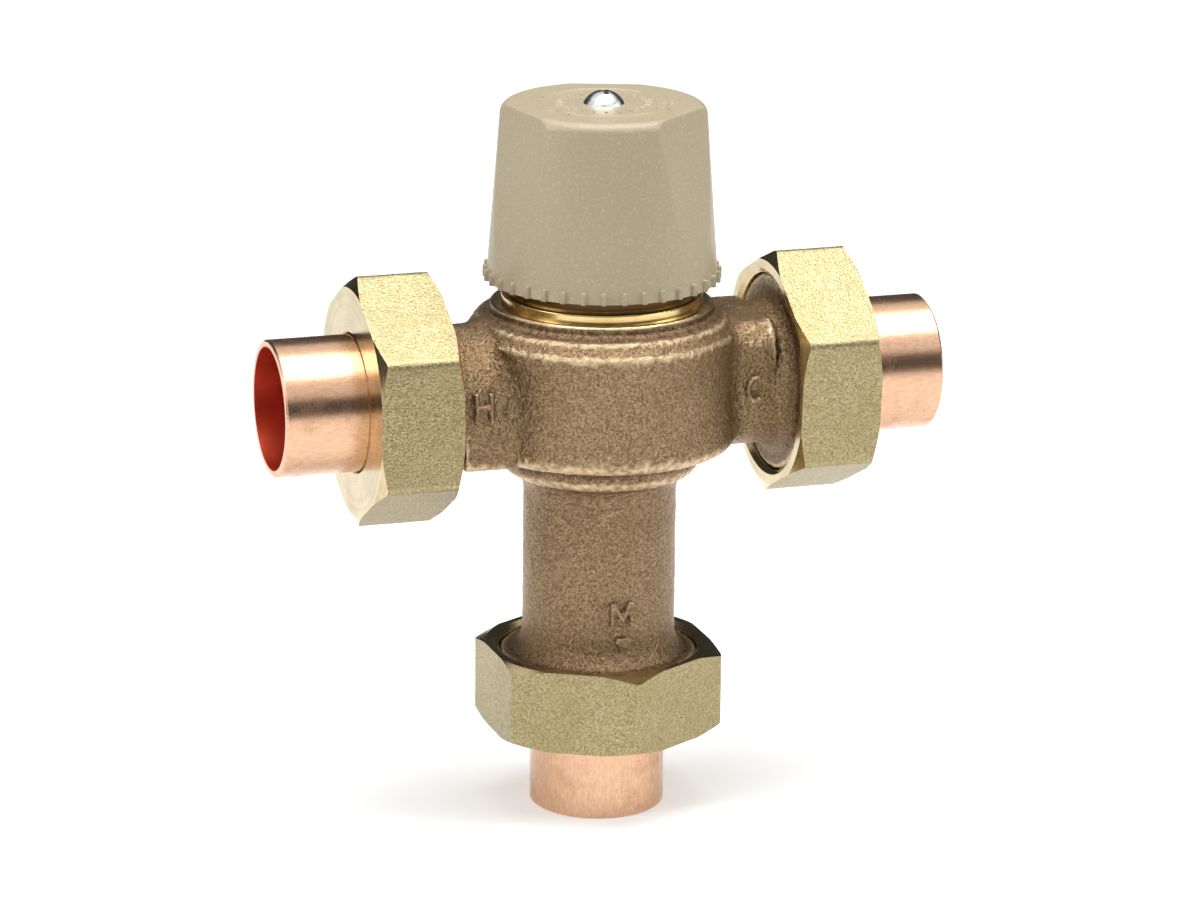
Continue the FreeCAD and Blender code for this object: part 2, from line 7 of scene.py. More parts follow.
# %% Load the frame
import json
import math
import bmesh
import bpy
import numpy as np
from mathutils import Matrix, Vector

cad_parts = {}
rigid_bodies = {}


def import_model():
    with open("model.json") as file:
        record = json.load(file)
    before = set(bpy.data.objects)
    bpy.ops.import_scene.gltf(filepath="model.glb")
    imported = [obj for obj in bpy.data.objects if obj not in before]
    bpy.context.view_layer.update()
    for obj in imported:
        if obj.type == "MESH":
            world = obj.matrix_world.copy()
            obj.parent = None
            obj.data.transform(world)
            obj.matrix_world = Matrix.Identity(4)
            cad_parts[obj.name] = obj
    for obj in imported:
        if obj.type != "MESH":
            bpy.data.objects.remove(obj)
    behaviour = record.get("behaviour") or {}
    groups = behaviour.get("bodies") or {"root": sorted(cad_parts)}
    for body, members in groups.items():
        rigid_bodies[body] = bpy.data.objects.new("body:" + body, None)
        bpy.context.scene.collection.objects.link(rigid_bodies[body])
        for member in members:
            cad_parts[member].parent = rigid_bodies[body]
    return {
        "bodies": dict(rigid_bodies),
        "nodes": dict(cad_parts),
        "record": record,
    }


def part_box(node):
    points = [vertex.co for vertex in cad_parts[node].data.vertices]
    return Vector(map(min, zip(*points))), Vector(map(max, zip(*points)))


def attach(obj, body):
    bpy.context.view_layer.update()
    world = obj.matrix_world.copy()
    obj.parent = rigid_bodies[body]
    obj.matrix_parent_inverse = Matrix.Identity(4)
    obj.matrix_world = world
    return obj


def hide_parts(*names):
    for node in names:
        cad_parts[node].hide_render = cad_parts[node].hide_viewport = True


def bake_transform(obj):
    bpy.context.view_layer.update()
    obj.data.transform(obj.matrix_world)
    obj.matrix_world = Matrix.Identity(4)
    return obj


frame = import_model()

for thing in list(bpy.data.objects):
    if thing not in set(frame["nodes"].values()) | set(frame["bodies"].values()):
        bpy.data.objects.remove(thing)
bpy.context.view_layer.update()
MM = 0.001

# %% [markdown]
# Everything is measured from the crossing, where the axes of the three ports
# meet. The hot tail lies on the axis of the inlets, so its box gives the height.

# %% Find the crossing
tail_low, tail_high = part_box("hot_tailpiece")
CROSSING = Vector((0.0, 0.0, (tail_low.z + tail_high.z) / 2))
print("crossing", tuple(round(x, 4) for x in CROSSING))

# %% [markdown]
# ## Trees of nodes written as sums
# Materials and Geometry Nodes both do their maths in Math nodes. A small class
# wraps a socket, so a plain sum such as 1 - mask adds the nodes by itself.


# %% A value in a node tree
class Value:
    """A socket in a tree. Arithmetic on it adds Math nodes to that tree."""

    def __init__(self, tree, socket):
        self.tree = tree
        self.socket = socket

    def math(self, operation, *others):
        """A Math node with this value first."""
        return self.tree.node("ShaderNodeMath", {"operation": operation}, (self, *others))

    def after(self, operation, other):
        """A Math node with this value second."""
        return self.tree.node("ShaderNodeMath", {"operation": operation}, (other, self))

    def other(self, name):
        """Another output of the same node."""
        return Value(self.tree, self.socket.node.outputs[name])

    def between(self, low, high):
        """0 below low, 1 above high and a soft step between them."""
        return self.tree.node("ShaderNodeMapRange", {"interpolation_type": "SMOOTHSTEP"},
                              {"Value": self, "From Min": low, "From Max": high})


def for_sign(method, operation):
    """What a value does when an arithmetic sign stands beside it."""
    return lambda value, other: method(value, operation, other)


SIGNS = {"add": "ADD", "sub": "SUBTRACT", "mul": "MULTIPLY", "truediv": "DIVIDE", "pow": "POWER"}
for word, operation in SIGNS.items():
    setattr(Value, "__" + word + "__", for_sign(Value.math, operation))
    setattr(Value, "__r" + word + "__", for_sign(Value.after, operation))


# %% A tree of nodes
class Tree:
    """A node tree with one method for all its nodes."""

    def __init__(self, group):
        self.group = group

    def node(self, kind, settings=None, inputs=None, output=0):
        """Adds a node and gives one of its outputs, if it has any."""
        made = self.group.nodes.new(kind)
        for name, value in (settings or {}).items():
            setattr(made, name, value)
        if not isinstance(inputs, dict):
            inputs = dict(enumerate(inputs or ()))
        for name, value in inputs.items():
            if isinstance(value, Value):
                self.group.links.new(value.socket, made.inputs[name])
            else:
                made.inputs[name].default_value = value
        return Value(self, made.outputs[output]) if made.outputs else None

    def vector(self, operation, *inputs):
        output = "Value" if operation == "LENGTH" else "Vector"
        return self.node("ShaderNodeVectorMath", {"operation": operation}, inputs, output)

    def scaled(self, vector, factor):
        return self.node("ShaderNodeVectorMath", {"operation": "SCALE"},
                         {"Vector": vector, "Scale": factor})

    def parts(self, vector):
        """The X, Y and Z of a vector."""
        x = self.node("ShaderNodeSeparateXYZ", None, (vector,))
        return x, x.other("Y"), x.other("Z")

    def joined(self, x, y, z):
        return self.node("ShaderNodeCombineXYZ", None, (x, y, z))

    def noise(self, place, scale, detail=2.0, roughness=0.5):
        return self.node("ShaderNodeTexNoise", None,
                         {"Vector": place, "Scale": scale, "Detail": detail,
                          "Roughness": roughness})


# %% [markdown]
# A finish is a Principled shader and the tree that feeds it. What varies over the
# surface is linked: colour, roughness and the normal. What doesn't is a plain
# number on the shader's own socket.


# %% A finish
class Finish(Tree):
    """One material, with a Principled shader at its end."""

    def __init__(self, name, **constants):
        self.material = bpy.data.materials.new(name)
        self.material.use_nodes = True
        super().__init__(self.material.node_tree)
        self.group.nodes.clear()
        self.place = self.node("ShaderNodeTexCoord", None, None, "Object")
        surface = self.node("ShaderNodeBsdfPrincipled")
        self.shader = surface.socket.node
        for socket, number in constants.items():
            self.shader.inputs[socket.replace("_", " ")].default_value = number
        self.node("ShaderNodeOutputMaterial", None, {"Surface": surface})

    def feed(self, **links):
        for socket, value in links.items():
            self.group.links.new(value.socket, self.shader.inputs[socket.replace("_", " ")])

    def mix(self, factor, one, two):
        """A colour between two others."""
        one = (*one, 1) if isinstance(one, tuple) else one
        two = (*two, 1) if isinstance(two, tuple) else two
        return self.node("ShaderNodeMix", {"data_type": "RGBA"}, {0: factor, 6: one, 7: two}, 2)

    def bump(self, height, depth, under=None):
        """A normal from a height of 0 to 1 that stands for so many metres."""
        inputs = {"Height": height, "Distance": depth, "Strength": 1.0}
        if under:
            inputs["Normal"] = under
        return self.node("ShaderNodeBump", None, inputs)


def linear(red, green, blue):
    """A colour as a painter mixes it, from 0 to 255, in the light that a shader uses."""
    scale = (red / 255, green / 255, blue / 255)
    return tuple(c / 12.92 if c <= 0.04045 else ((c + 0.055) / 1.055) ** 2.4 for c in scale)


print("helpers ready")

# %% [markdown]
# ## Rules in Geometry Nodes
# What repeats or follows a formula is a rule: a Geometry Nodes tree with named
# inputs. A rule runs once, and its result is kept as a plain mesh, so each piece
# stays at the origin with nothing live on it.


# %% A rule
class Rule(Tree):
    """A Geometry Nodes tree whose inputs have names and sizes."""

    def __init__(self, name):
        super().__init__(bpy.data.node_groups.new(name, "GeometryNodeTree"))
        for way in ("OUTPUT", "INPUT"):
            self.group.interface.new_socket("Geometry", in_out=way,
                                            socket_type="NodeSocketGeometry")
        self.entry = self.group.nodes.new("NodeGroupInput")
        self.start = Value(self, self.entry.outputs["Geometry"])
        self.sockets = {}

    def sizes(self, *names, kind="NodeSocketFloat"):
        """Named inputs of the rule."""
        for name in names:
            socket = self.group.interface.new_socket(name, in_out="INPUT", socket_type=kind)
            self.sockets[name] = socket.identifier
        return [Value(self, self.entry.outputs[name]) for name in names]

    def counts(self, *names):
        """Named inputs that are whole numbers."""
        return self.sizes(*names, kind="NodeSocketInt")

    def circle(self, corners, radius):
        return self.node("GeometryNodeCurvePrimitiveCircle", None,
                         {"Resolution": corners, "Radius": radius})

    def resampled(self, curve, count):
        """The same curve in so many even points."""
        return self.node("GeometryNodeResampleCurve", {"mode": "COUNT"},
                         {"Curve": curve, "Count": count})

    def swept(self, curve, profile):
        """A profile along a curve, closed at both ends."""
        return self.node("GeometryNodeCurveToMesh", None,
                         {"Curve": curve, "Profile Curve": profile, "Fill Caps": True})

    def set_place(self, geometry, **place):
        """Moves points to a Position or by an Offset."""
        return self.node("GeometryNodeSetPosition", None, {"Geometry": geometry, **place})

    def around(self, radius, angle, height):
        """A place at a distance and an angle round Z."""
        return self.joined(radius * angle.math("COSINE"), radius * angle.math("SINE"), height)

    def grains(self, place, size, seed, detail):
        """Noise with grains of a size in metres, shuffled by a seed."""
        return self.node("ShaderNodeTexNoise", {"noise_dimensions": "4D"},
                         {"Vector": place, "W": seed, "Scale": 1.0 / size, "Detail": detail})

    def ends(self, geometry, finish):
        """Real copies instead of instances, then the material, then the way out."""
        real = self.node("GeometryNodeRealizeInstances", None, (geometry,))
        dressed = self.node("GeometryNodeSetMaterial", None,
                            {"Geometry": real, "Material": finish.material})
        self.node("NodeGroupOutput", None, {"Geometry": dressed})
        return self


# %% Plain meshes
def placed(name, data):
    """A new object at the origin with this mesh, lamp or lens."""
    piece = bpy.data.objects.new(name, data)
    bpy.context.scene.collection.objects.link(piece)
    return piece


def plain(piece):
    """Keeps what the modifiers make of a piece, and removes them."""
    graph = bpy.context.evaluated_depsgraph_get()
    result = bpy.data.meshes.new_from_object(piece.evaluated_get(graph))
    piece.modifiers.clear()
    piece.data = result
    return piece


def run(rule, name, start=None, **sizes):
    """Runs a rule and keeps the result as a plain mesh."""
    piece = placed(name, start or bpy.data.meshes.new(name))
    modifier = piece.modifiers.new("rule", "NODES")
    modifier.node_group = rule.group
    for words, number in sizes.items():
        modifier[rule.sockets[words.replace("_", " ")]] = number
    return plain(piece)


def gathered(*meshes):
    """A form that holds these meshes."""
    form = bmesh.new()
    for mesh in meshes:
        form.from_mesh(mesh)
    return form


def kept(form, mesh):
    """Ends the work on a form and keeps it in a mesh."""
    form.to_mesh(mesh)
    form.free()
    return mesh


def closed(form, mesh):
    """Turns the faces outwards and keeps the form in a mesh."""
    bmesh.ops.recalc_face_normals(form, faces=form.faces)
    return kept(form, mesh)


def painted(piece, finish):
    """One finish for the whole piece."""
    piece.data.materials.clear()
    piece.data.materials.append(finish.material)
    return piece


def triangles(piece):
    """How many triangles a piece has."""
    return sum(len(face.vertices) - 2 for face in piece.data.polygons)


# %% [markdown]
# ## Solids for the lathe
# A turned solid is an outline of radii and heights, spun round an axis. The
# outline is in millimetres, with the height counted outwards along one port.

# %% Turned solids
PORTS = {"up": 0, "cold": 90, "mixed": 180, "hot": -90}


def to_port(piece, port):
    """Lays a mesh in millimetres, drawn along Z, on a port of the valve."""
    turn = Matrix.Rotation(math.radians(PORTS[port]), 4, "Y")
    piece.data.transform(Matrix.Translation(CROSSING) @ turn @ Matrix.Scale(MM, 4))
    return piece


def heights(node, port):
    """The lowest and highest place of a CAD node along a port, in millimetres."""
    out = Matrix.Rotation(math.radians(PORTS[port]), 3, "Y") @ Vector((0, 0, 1))
    return sorted((corner - CROSSING).dot(out) / MM for corner in map(Vector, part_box(node)))


def solid(name, form, port):
    """A closed piece on a port, from a form in millimetres."""
    return to_port(placed(name, closed(form, bpy.data.meshes.new(name))), port)


def turned(name, outline, port, finish=None, steps=128, ring=False):
    """Spins an outline of (radius, height) round a port. A ring's outline has no axis in it."""
    form = bmesh.new()
    angles = [2 * math.pi * step / steps for step in range(steps)]
    rows = []
    for r, h in outline:
        round_row = [form.verts.new((r * math.cos(a), r * math.sin(a), h)) for a in angles if r]
        rows.append(round_row or [form.verts.new((0, 0, h))] * steps)
    pairs = list(zip(rows, rows[1:]))
    if ring:
        pairs.append((rows[-1], rows[0]))
    for low, high in pairs:
        for here in range(steps):
            after = (here + 1) % steps
            corners = dict.fromkeys((low[here], low[after], high[after], high[here]))
            form.faces.new(corners)
    piece = solid(name, form, port)
    return painted(piece, finish) if finish else piece


def box_solid(name, x, y, z):
    """A plain block between two values on each axis, for cutting only."""
    form = bmesh.new()
    middle = [(side[0] + side[1]) / 2 for side in (x, y, z)]
    lengths = [side[1] - side[0] for side in (x, y, z)]
    place = Matrix.Translation(middle) @ Matrix.Diagonal((*lengths, 1))
    bmesh.ops.create_cube(form, size=1, matrix=place)
    return solid(name, form, "up")


# %% Adding and cutting
def combined(piece, tool, operation):
    """Adds, cuts or shares two closed solids. The tool's faces keep the tool's finish."""
    step = piece.modifiers.new("step", "BOOLEAN")
    step.operation = operation
    step.solver = "MANIFOLD"
    step.material_mode = "TRANSFER"
    step.object = tool
    plain(piece)
    bpy.data.objects.remove(tool)
    return piece


def union_of(solids):
    """One solid from several."""
    whole = solids[0]
    for part in solids[1:]:
        combined(whole, part, "UNION")
    return whole

WELD = 1e-6


def cad_solid(name, node, finish):
    """A merged copy of a CAD node's mesh."""
    form = gathered(frame["nodes"][node].data)
    bmesh.ops.remove_doubles(form, verts=form.verts, dist=WELD)
    piece = painted(placed(name, closed(form, bpy.data.meshes.new(name))), finish)
    piece.data.polygons.foreach_set("material_index", [0] * len(piece.data.polygons))
    return piece


def shaded(piece, angle=28):
    """Smooth faces that stay sharp where they meet at more than this angle."""
    piece.data.polygons.foreach_set("use_smooth", [True] * len(piece.data.polygons))
    piece.data.set_sharp_from_angle(angle=math.radians(angle))
    piece.data.update()
    return piece


print("rules and cuts ready")

# %% [markdown]
# ## Cast bronze
# Molten bronze takes the print of the sand, so the skin is grainy at the size of
# a sand grain. Hollows are painted darker, as painted shade. Letters and edges get
# a painted highlight, with the lower roughness of rubbing wear, and bright specks in
# the grain are painted glints. The casting's mesh carries how proud each point
# stands, from 0 to 1, and the finest grain is a bump, because it is smaller than a
# sensible face.


# %% Cast bronze
def cast_bronze():
    skin = Finish("cast_bronze", Metallic=1.0)
    grain = skin.noise(skin.place, 3800.0, 2.0, 0.6)
    pits = skin.noise(skin.place, 1650.0, 3.0, 0.6)
    cloud = skin.noise(skin.place, 60.0, 2.0, 0.5)
    proud = skin.node("ShaderNodeAttribute", {"attribute_name": "proud"}, None, "Fac")
    tone = (grain * 0.5 + pits * 0.5).between(0.34, 0.68)
    metal = skin.mix(tone, linear(110, 86, 60), linear(182, 156, 122))
    stained = skin.mix(cloud.between(0.4, 0.7) * 0.3, metal, linear(130, 98, 66))
    # What stands proud gets a painted highlight, and rubbing wear lowers its roughness. What is sunk
    # gets painted shade below.
    wear_and_painted_highlight, sunk = proud.between(0.57, 0.84), 1.0 - proud.between(0.08, 0.44)
    # Painted shade: the sunk hollows are darkened towards a deep brown.
    with_painted_shade = skin.mix(sunk * 0.8, stained, linear(62, 42, 28))
    # Painted glints: bright, nearly white specks in the grain.
    with_painted_glints = skin.mix(grain.between(0.62, 0.76) * 0.55, with_painted_shade, linear(240, 220, 190))
    rough = 0.36 - wear_and_painted_highlight * 0.08 + (grain - 0.5) * 0.12 + (cloud - 0.5) * 0.08
    fine = skin.bump(grain, 0.00014)
    skin.feed(Base_Color=skin.mix(wear_and_painted_highlight, with_painted_glints, linear(226, 200, 162)), Roughness=rough,
              Normal=skin.bump(pits, 0.00042, fine))
    return skin


CAST = cast_bronze()
print("finish", CAST.material.name)

# %% [markdown]
# ## Metal from the lathe
# A turned face carries fine rings round the axis that it was turned on. The
# rings are a noise that only changes with the distance from that axis and along
# it, so the same finish suits faces, cones and bores.


# %% Turned metal
def from_axis(finish, axis):
    """Distance from the axis of a port, and distance along it."""
    centred = finish.node("ShaderNodeMapping", None,
                          {"Vector": finish.place, "Location": tuple(-CROSSING)})
    x, y, z = finish.parts(centred)
    along, aside = (x, z) if axis == "x" else (z, x)
    return (aside * aside + y * y) ** 0.5, along


def turned_metal(name, axis, dark, light, rough, depth=0.000012, painted_shade_from=None):
    """Metal with fine rings. Past a height it can be painted dark brown, as painted shade."""
    metal = Finish(name, Metallic=1.0)
    radius, along = from_axis(metal, axis)
    track = metal.joined(radius, along, 0.0)
    rings = metal.noise(track, 5200.0, 2.0, 0.7)
    bands = metal.noise(track, 700.0, 2.0, 0.5)
    smear = metal.noise(metal.place, 160.0, 4.0, 0.6)
    tone = (rings * 0.35 + bands * 0.25 + smear * 0.4).between(0.32, 0.66)
    colour, roughness = metal.mix(tone, dark, light), rough + (smear - 0.5) * 0.16
    # Past the given height the colour is painted dark brown and made rougher: painted shade.
    if painted_shade_from:
        painted_shade_share = along.between(painted_shade_from, painted_shade_from + 0.3 * MM)
        colour, roughness = metal.mix(painted_shade_share * 0.9, colour, linear(80, 38, 16)), roughness + painted_shade_share * 0.25
    metal.feed(Base_Color=colour, Roughness=roughness + (rings - 0.5) * 0.1,
               Normal=metal.bump(rings, depth))
    return metal


BRASS_DARK, BRASS_LIGHT = linear(172, 152, 108), linear(216, 200, 158)
CUT_BRASS = {axis: turned_metal("cut_brass_" + axis, axis, BRASS_DARK, BRASS_LIGHT, 0.2)
             for axis in ("x", "z")}
CUT_BRONZE = {axis: turned_metal("cut_bronze_" + axis, axis, linear(214, 180, 128),
                                 linear(246, 226, 186), 0.24)
              for axis in ("x", "z")}
GOLD_BRASS = turned_metal("turned_brass", "z", linear(196, 160, 92), linear(242, 216, 150), 0.2)
# The bonnet's wall above its flange lies in the knob's shade, which is painted on it here as dark
# brown.
BONNET_BRASS = turned_metal("aged_brass", "z", linear(200, 166, 100), linear(244, 220, 160), 0.24,
                            painted_shade_from=17.75 * MM)

# %% [markdown]
# ## Blasted brass
# The nuts are forged, then blasted with grit, which leaves fine dimples all over
# the flats and a soft greenish-yellow shine.


# %% Blasted brass
def blasted_brass():
    skin = Finish("forged_brass", Metallic=1.0)
    grit = skin.noise(skin.place, 4200.0, 2.0, 0.6)
    dents = skin.noise(skin.place, 2200.0, 2.0, 0.5)
    cloud = skin.noise(skin.place, 110.0, 3.0, 0.6)
    high = (grit * 0.6 + dents * 0.4).between(0.36, 0.66)
    brass = skin.mix(high, linear(140, 126, 86), linear(190, 177, 140))
    toned = skin.mix(cloud.between(0.4, 0.7) * 0.3, brass, linear(156, 141, 98))
    fine = skin.bump(grit, 0.00006)
    skin.feed(Base_Color=toned, Roughness=0.42 - high * 0.06 + (cloud - 0.5) * 0.08,
              Normal=skin.bump(dents, 0.00011, fine))
    return skin


BLASTED = blasted_brass()
print("finish", BLASTED.material.name)

# %% [markdown]
# ## Copper
# The tails are drawn copper, polished by handling. Soft clouds of oxide, fine
# scratches round and along the tube, and a redder bore are what tell it apart
# from a painted cylinder.


# %% Copper
def copper(name, axis):
    metal = Finish(name, Metallic=1.0)
    radius, along = from_axis(metal, axis)
    x, y, z = metal.parts(metal.place)
    across = metal.joined(along * 9.0, y, z if axis == "x" else x)
    scuffs = metal.noise(across, 900.0, 4.0, 0.65)
    drawn = metal.joined(along * 0.3, y, z if axis == "x" else x)
    streaks = metal.noise(drawn, 2600.0, 2.0, 0.5)
    cloud = metal.noise(metal.place, 210.0, 4.0, 0.6)
    oxide = (cloud * 0.7 + scuffs * 0.3).between(0.5, 0.74)
    bright = metal.mix(streaks.between(0.3, 0.75), linear(212, 170, 138), linear(226, 184, 154))
    toned = metal.mix(oxide * 0.6, bright, linear(184, 120, 86))
    bore = 1.0 - radius.between(TUBE_BORE * 1.002, TUBE_BORE * 1.02)
    metal.feed(Base_Color=metal.mix(bore, toned, linear(232, 104, 74)),
               Roughness=0.25 + oxide * 0.12 + (scuffs - 0.5) * 0.1 + bore * 0.12,
               Normal=metal.bump(scuffs * 0.6 + streaks * 0.4, 0.000011))
    return metal


TUBE_BORE = 11.17 * MM
COPPER = {axis: copper("copper_" + axis, axis) for axis in ("x", "z")}

# %% [markdown]
# ## Moulded plastic
# The knob is moulded in a warm grey beige. Its skin has the fine spark texture
# of the mould, and a faint speckle from the filler.


# %% Moulded plastics
def moulded(name, shade, speck, rough, depth=0.000016):
    skin = Finish(name, IOR=1.46)
    spark = skin.noise(skin.place, 2600.0, 2.0, 0.5)
    filler = skin.noise(skin.place, 1900.0, 2.0, 0.7)
    flow = skin.noise(skin.place, 60.0, 2.0, 0.5)
    specks = filler.between(0.5, 0.7) * 0.6 + (flow - 0.5) * 0.25
    skin.feed(Base_Color=skin.mix(specks, shade, speck),
              Roughness=rough + (spark - 0.5) * 0.12, Normal=skin.bump(spark, depth))
    return skin


KNOB_PLASTIC = moulded("knob_plastic", linear(183, 169, 141), linear(206, 194, 168), 0.34, 0.00004)
WHITE_ACETAL = moulded("white_acetal", linear(226, 224, 216), linear(240, 239, 234), 0.3)
DARK_ACETAL = moulded("dark_acetal", linear(46, 46, 48), linear(72, 72, 74), 0.36)
RUBBER = moulded("seal_rubber", linear(24, 24, 25), linear(44, 43, 42), 0.55, 0.00003)


# %% Steels and the fibre washers
def bright_steel(name, rough, dark, light, scale):
    metal = Finish(name, Metallic=1.0)
    worn = metal.noise(metal.place, scale, 4.0, 0.65)
    cloud = metal.noise(metal.place, scale * 0.16, 3.0, 0.6)
    tone = (worn * 0.6 + cloud * 0.4).between(0.36, 0.66)
    metal.feed(Base_Color=metal.mix(tone, dark, light),
               Roughness=rough + (worn - 0.5) * 0.14, Normal=metal.bump(worn, 0.000012))
    return metal


def pressed_fibre():
    sheet = Finish("fibre_washer", IOR=1.5)
    strands = sheet.noise(sheet.place, 1700.0, 5.0, 0.75)
    cloud = sheet.noise(sheet.place, 240.0, 2.0, 0.5)
    tone = (strands * 0.7 + cloud * 0.3).between(0.35, 0.68)
    sheet.feed(Base_Color=sheet.mix(tone, linear(96, 48, 34), linear(148, 84, 62)),
               Roughness=0.72 + (strands - 0.5) * 0.2, Normal=sheet.bump(strands, 0.00006))
    return sheet


SCREW_STEEL = bright_steel("plated_screw", 0.24, linear(176, 180, 182), linear(232, 234, 236), 900.0)
SPRING_STEEL = bright_steel("spring_steel", 0.28, linear(150, 148, 144), linear(206, 204, 200), 1600.0)
SCREEN_STEEL = bright_steel("screen_steel", 0.3, linear(160, 160, 158), linear(214, 214, 212), 2400.0)
FIBRE = pressed_fibre()

# %% [markdown]
# Every CAD node is dressed by the slot that its record names. A port's parts
# that show rings of their own get the finish for that port's axis.

# %% Dress the CAD nodes
FINISHES = {
    "cast_bronze": CAST, "forged_brass": BLASTED, "turned_brass": GOLD_BRASS,
    "copper": COPPER["x"], "knob_plastic": KNOB_PLASTIC, "plated_screw": SCREW_STEEL,
    "seal_rubber": RUBBER, "fibre_washer": FIBRE, "spring_steel": SPRING_STEEL,
    "screen_steel": SCREEN_STEEL, "white_acetal": WHITE_ACETAL, "dark_acetal": DARK_ACETAL}

OWN_FINISH = {"mixed_tailpiece": COPPER["z"], "bonnet": BONNET_BRASS}
for subpart in frame["record"]["subparts"]:
    name = subpart["node"]
    painted(frame["nodes"][name], OWN_FINISH.get(name, FINISHES[subpart["material_slot"]]))

# %% [markdown]
# ## Raised letters
# A pattern maker glues soft lead letters on the pattern, and they come out as
# rounded beads. So each letter is a few strokes laid on the surface, and the
# rule runs a round bead along every stroke. H, C and M stand for hot, cold and
# mixed, and the small triangle points the way the mixed water leaves.


# %% Rule: beads along strokes
def bead_rule(finish):
    rule = Rule("beads_along_strokes")
    (radius,), (sides,) = rule.sizes("Bead radius"), rule.counts("Bead sides")
    path = rule.node("GeometryNodeMeshToCurve", None, (rule.start,))
    even = rule.node("GeometryNodeResampleCurve", {"mode": "LENGTH"},
                     {"Curve": path, "Length": 0.25 * MM})
    return rule.ends(rule.swept(even, rule.circle(sides, radius)), finish)


def arc(x, y, wide, high, first, last, count=14):
    """Points along part of an oval."""
    angles = [math.radians(first + (last - first) * step / count) for step in range(count + 1)]
    return [(x + wide * math.cos(a), y + high * math.sin(a)) for a in angles]


def strokes_mesh(name, strokes, lay):
    """Strokes as edges, each point laid on the surface by a function."""
    form = bmesh.new()
    for stroke in strokes:
        points = [form.verts.new(lay(x, y)) for x, y in stroke]
        for pair in zip(points, points[1:]):
            form.edges.new(pair)
    return kept(form, bpy.data.meshes.new(name))


# %% Lay the letters
BEADS = bead_rule(CAST)
BLOCK_SIDE, NECK_RADIUS = 13.0, 14.15
LETTER_RISE = 0.42


def on_front(radius, aside):
    """Lays points just over the front of a round form. A function says how far aside they are."""
    def lay(x, z):
        depth = math.sqrt(radius ** 2 - aside(x, z) ** 2)
        return CROSSING + Vector((x, -depth - LETTER_RISE, z)) * MM
    return lay


on_hot_block = on_front(BLOCK_SIDE, lambda x, z: max(z, 0.0))
on_cold_block = on_front(BLOCK_SIDE, lambda x, z: min(z, 0.0))
on_neck = on_front(NECK_RADIUS, lambda x, z: x)

H_STROKES = [[(-27.6, -1.9), (-27.6, 0.9), (-27.6, 3.6)], [(-24.8, -1.9), (-24.8, 0.9), (-24.8, 3.6)],
             [(-27.6, 0.9), (-24.8, 0.9)]]
C_STROKES = [arc(25.3, 0.6, 1.35, 2.1, 48, 312)]
M_STROKES = [[(-1.95, -42.3), (-1.85, -37.5)], [(-1.85, -37.5), (-0.1, -40.9)],
             [(-0.1, -40.9), (1.6, -37.5)], [(1.6, -37.5), (1.75, -42.3)]]
POINTER = [[(-1.2, -44.7), (1.15, -44.7)], [(1.15, -44.7), (0.0, -46.7)],
           [(0.0, -46.7), (-1.2, -44.7)], [(0.0, -44.9), (0.0, -46.2)]]

LETTERS = [run(BEADS, name, strokes_mesh(name, strokes, lay), Bead_radius=bead * MM, Bead_sides=10)
           for name, strokes, lay, bead in (("letter_h", H_STROKES, on_hot_block, 0.66),
                                            ("letter_c", C_STROKES, on_cold_block, 0.62),
                                            ("letter_m", M_STROKES, on_neck, 0.58),
                                            ("pointer", POINTER, on_neck, 0.58))]
print("letters", [triangles(letter) for letter in LETTERS])

# %% [markdown]
# ## The casting
# The body is poured round sand cores and then machined. The same order is used
# here. The blank is the CAD body with its hollows filled, made one skin by a
# voxel remesh. Smoothing fills the inner corners, a rule adds the print of the
# sand, and the letters are joined on. Last the lathe's cuts bring back the exact
# bores, ends and faces, with the ragged edge that a cut through sand skin has.

# %% The blank of the casting
VOXEL, LETTER_VOXEL = 0.5 * MM, 0.2 * MM
LOW_PLUG, BARREL_PLUG, NECK_PLUG, BORE_PLUG, MOUTH_PLUG = 14.6, 23.3, 12.5, 10.4, 18.8
GALLERY = (-9.7, 10.1)
RIM_TOP, RIM_RADIUS, END_RADIUS = 16.0, 20.2, 18.2
INLET_CUT, INLET_FACE, OUTLET_CUT, OUTLET_FACE = 33.5, 39.1, 51.0, 56.7
RIM_SPARE, RIM_OVERLAP, END_SPARE, FACE_SPARE = 0.3, 0.5, 0.15, 0.3
RIM_CUT, BEYOND, PAST_FACE = 0.35, 30.0, 6
WINDOW_OUT, WINDOW_SIDE, WINDOW_UP = (19.0, 25.8), (-8.1, 8.1), (1.0, 9.2)

barrel_core = [(0, -14.2), (LOW_PLUG, -14.2), (LOW_PLUG, GALLERY[0]), (BARREL_PLUG, GALLERY[0]),
               (BARREL_PLUG, GALLERY[1]), (MOUTH_PLUG, GALLERY[1])]
outlet_core = [(0, 12.0), (NECK_PLUG, 12.0), (NECK_PLUG, OUTLET_CUT)]
inlet_core = [(0, 16.0), (BORE_PLUG, 16.0), (BORE_PLUG, INLET_CUT)]


def to_axis(wide, low, high):
    """The end of an outline: out to a width, up to a height and in to the axis."""
    return [(wide, low), (wide, high), (0, high)]


def mirrored(span):
    """The same span on the other side of the crossing."""
    return -span[1], -span[0]


def lathe_solids(kind, top, wide, spare, across=None, upright=None):
    """Barrel, outlet and inlets, each with its own end, and the windows between them."""
    outlet = outlet_core + to_axis(wide, OUTLET_CUT, OUTLET_FACE + spare)
    inlet = inlet_core + to_axis(wide, INLET_CUT, INLET_FACE + spare)
    return [turned(kind + "_barrel", barrel_core + top, "up", upright),
            turned(kind + "_outlet", outlet, "mixed", upright),
            turned(kind + "_hot", inlet, "hot", across),
            turned(kind + "_cold", inlet, "cold", across),
            box_solid(kind + "_cold_window", WINDOW_OUT, WINDOW_SIDE, WINDOW_UP),
            box_solid(kind + "_hot_window", mirrored(WINDOW_OUT), WINDOW_SIDE, mirrored(WINDOW_UP))]


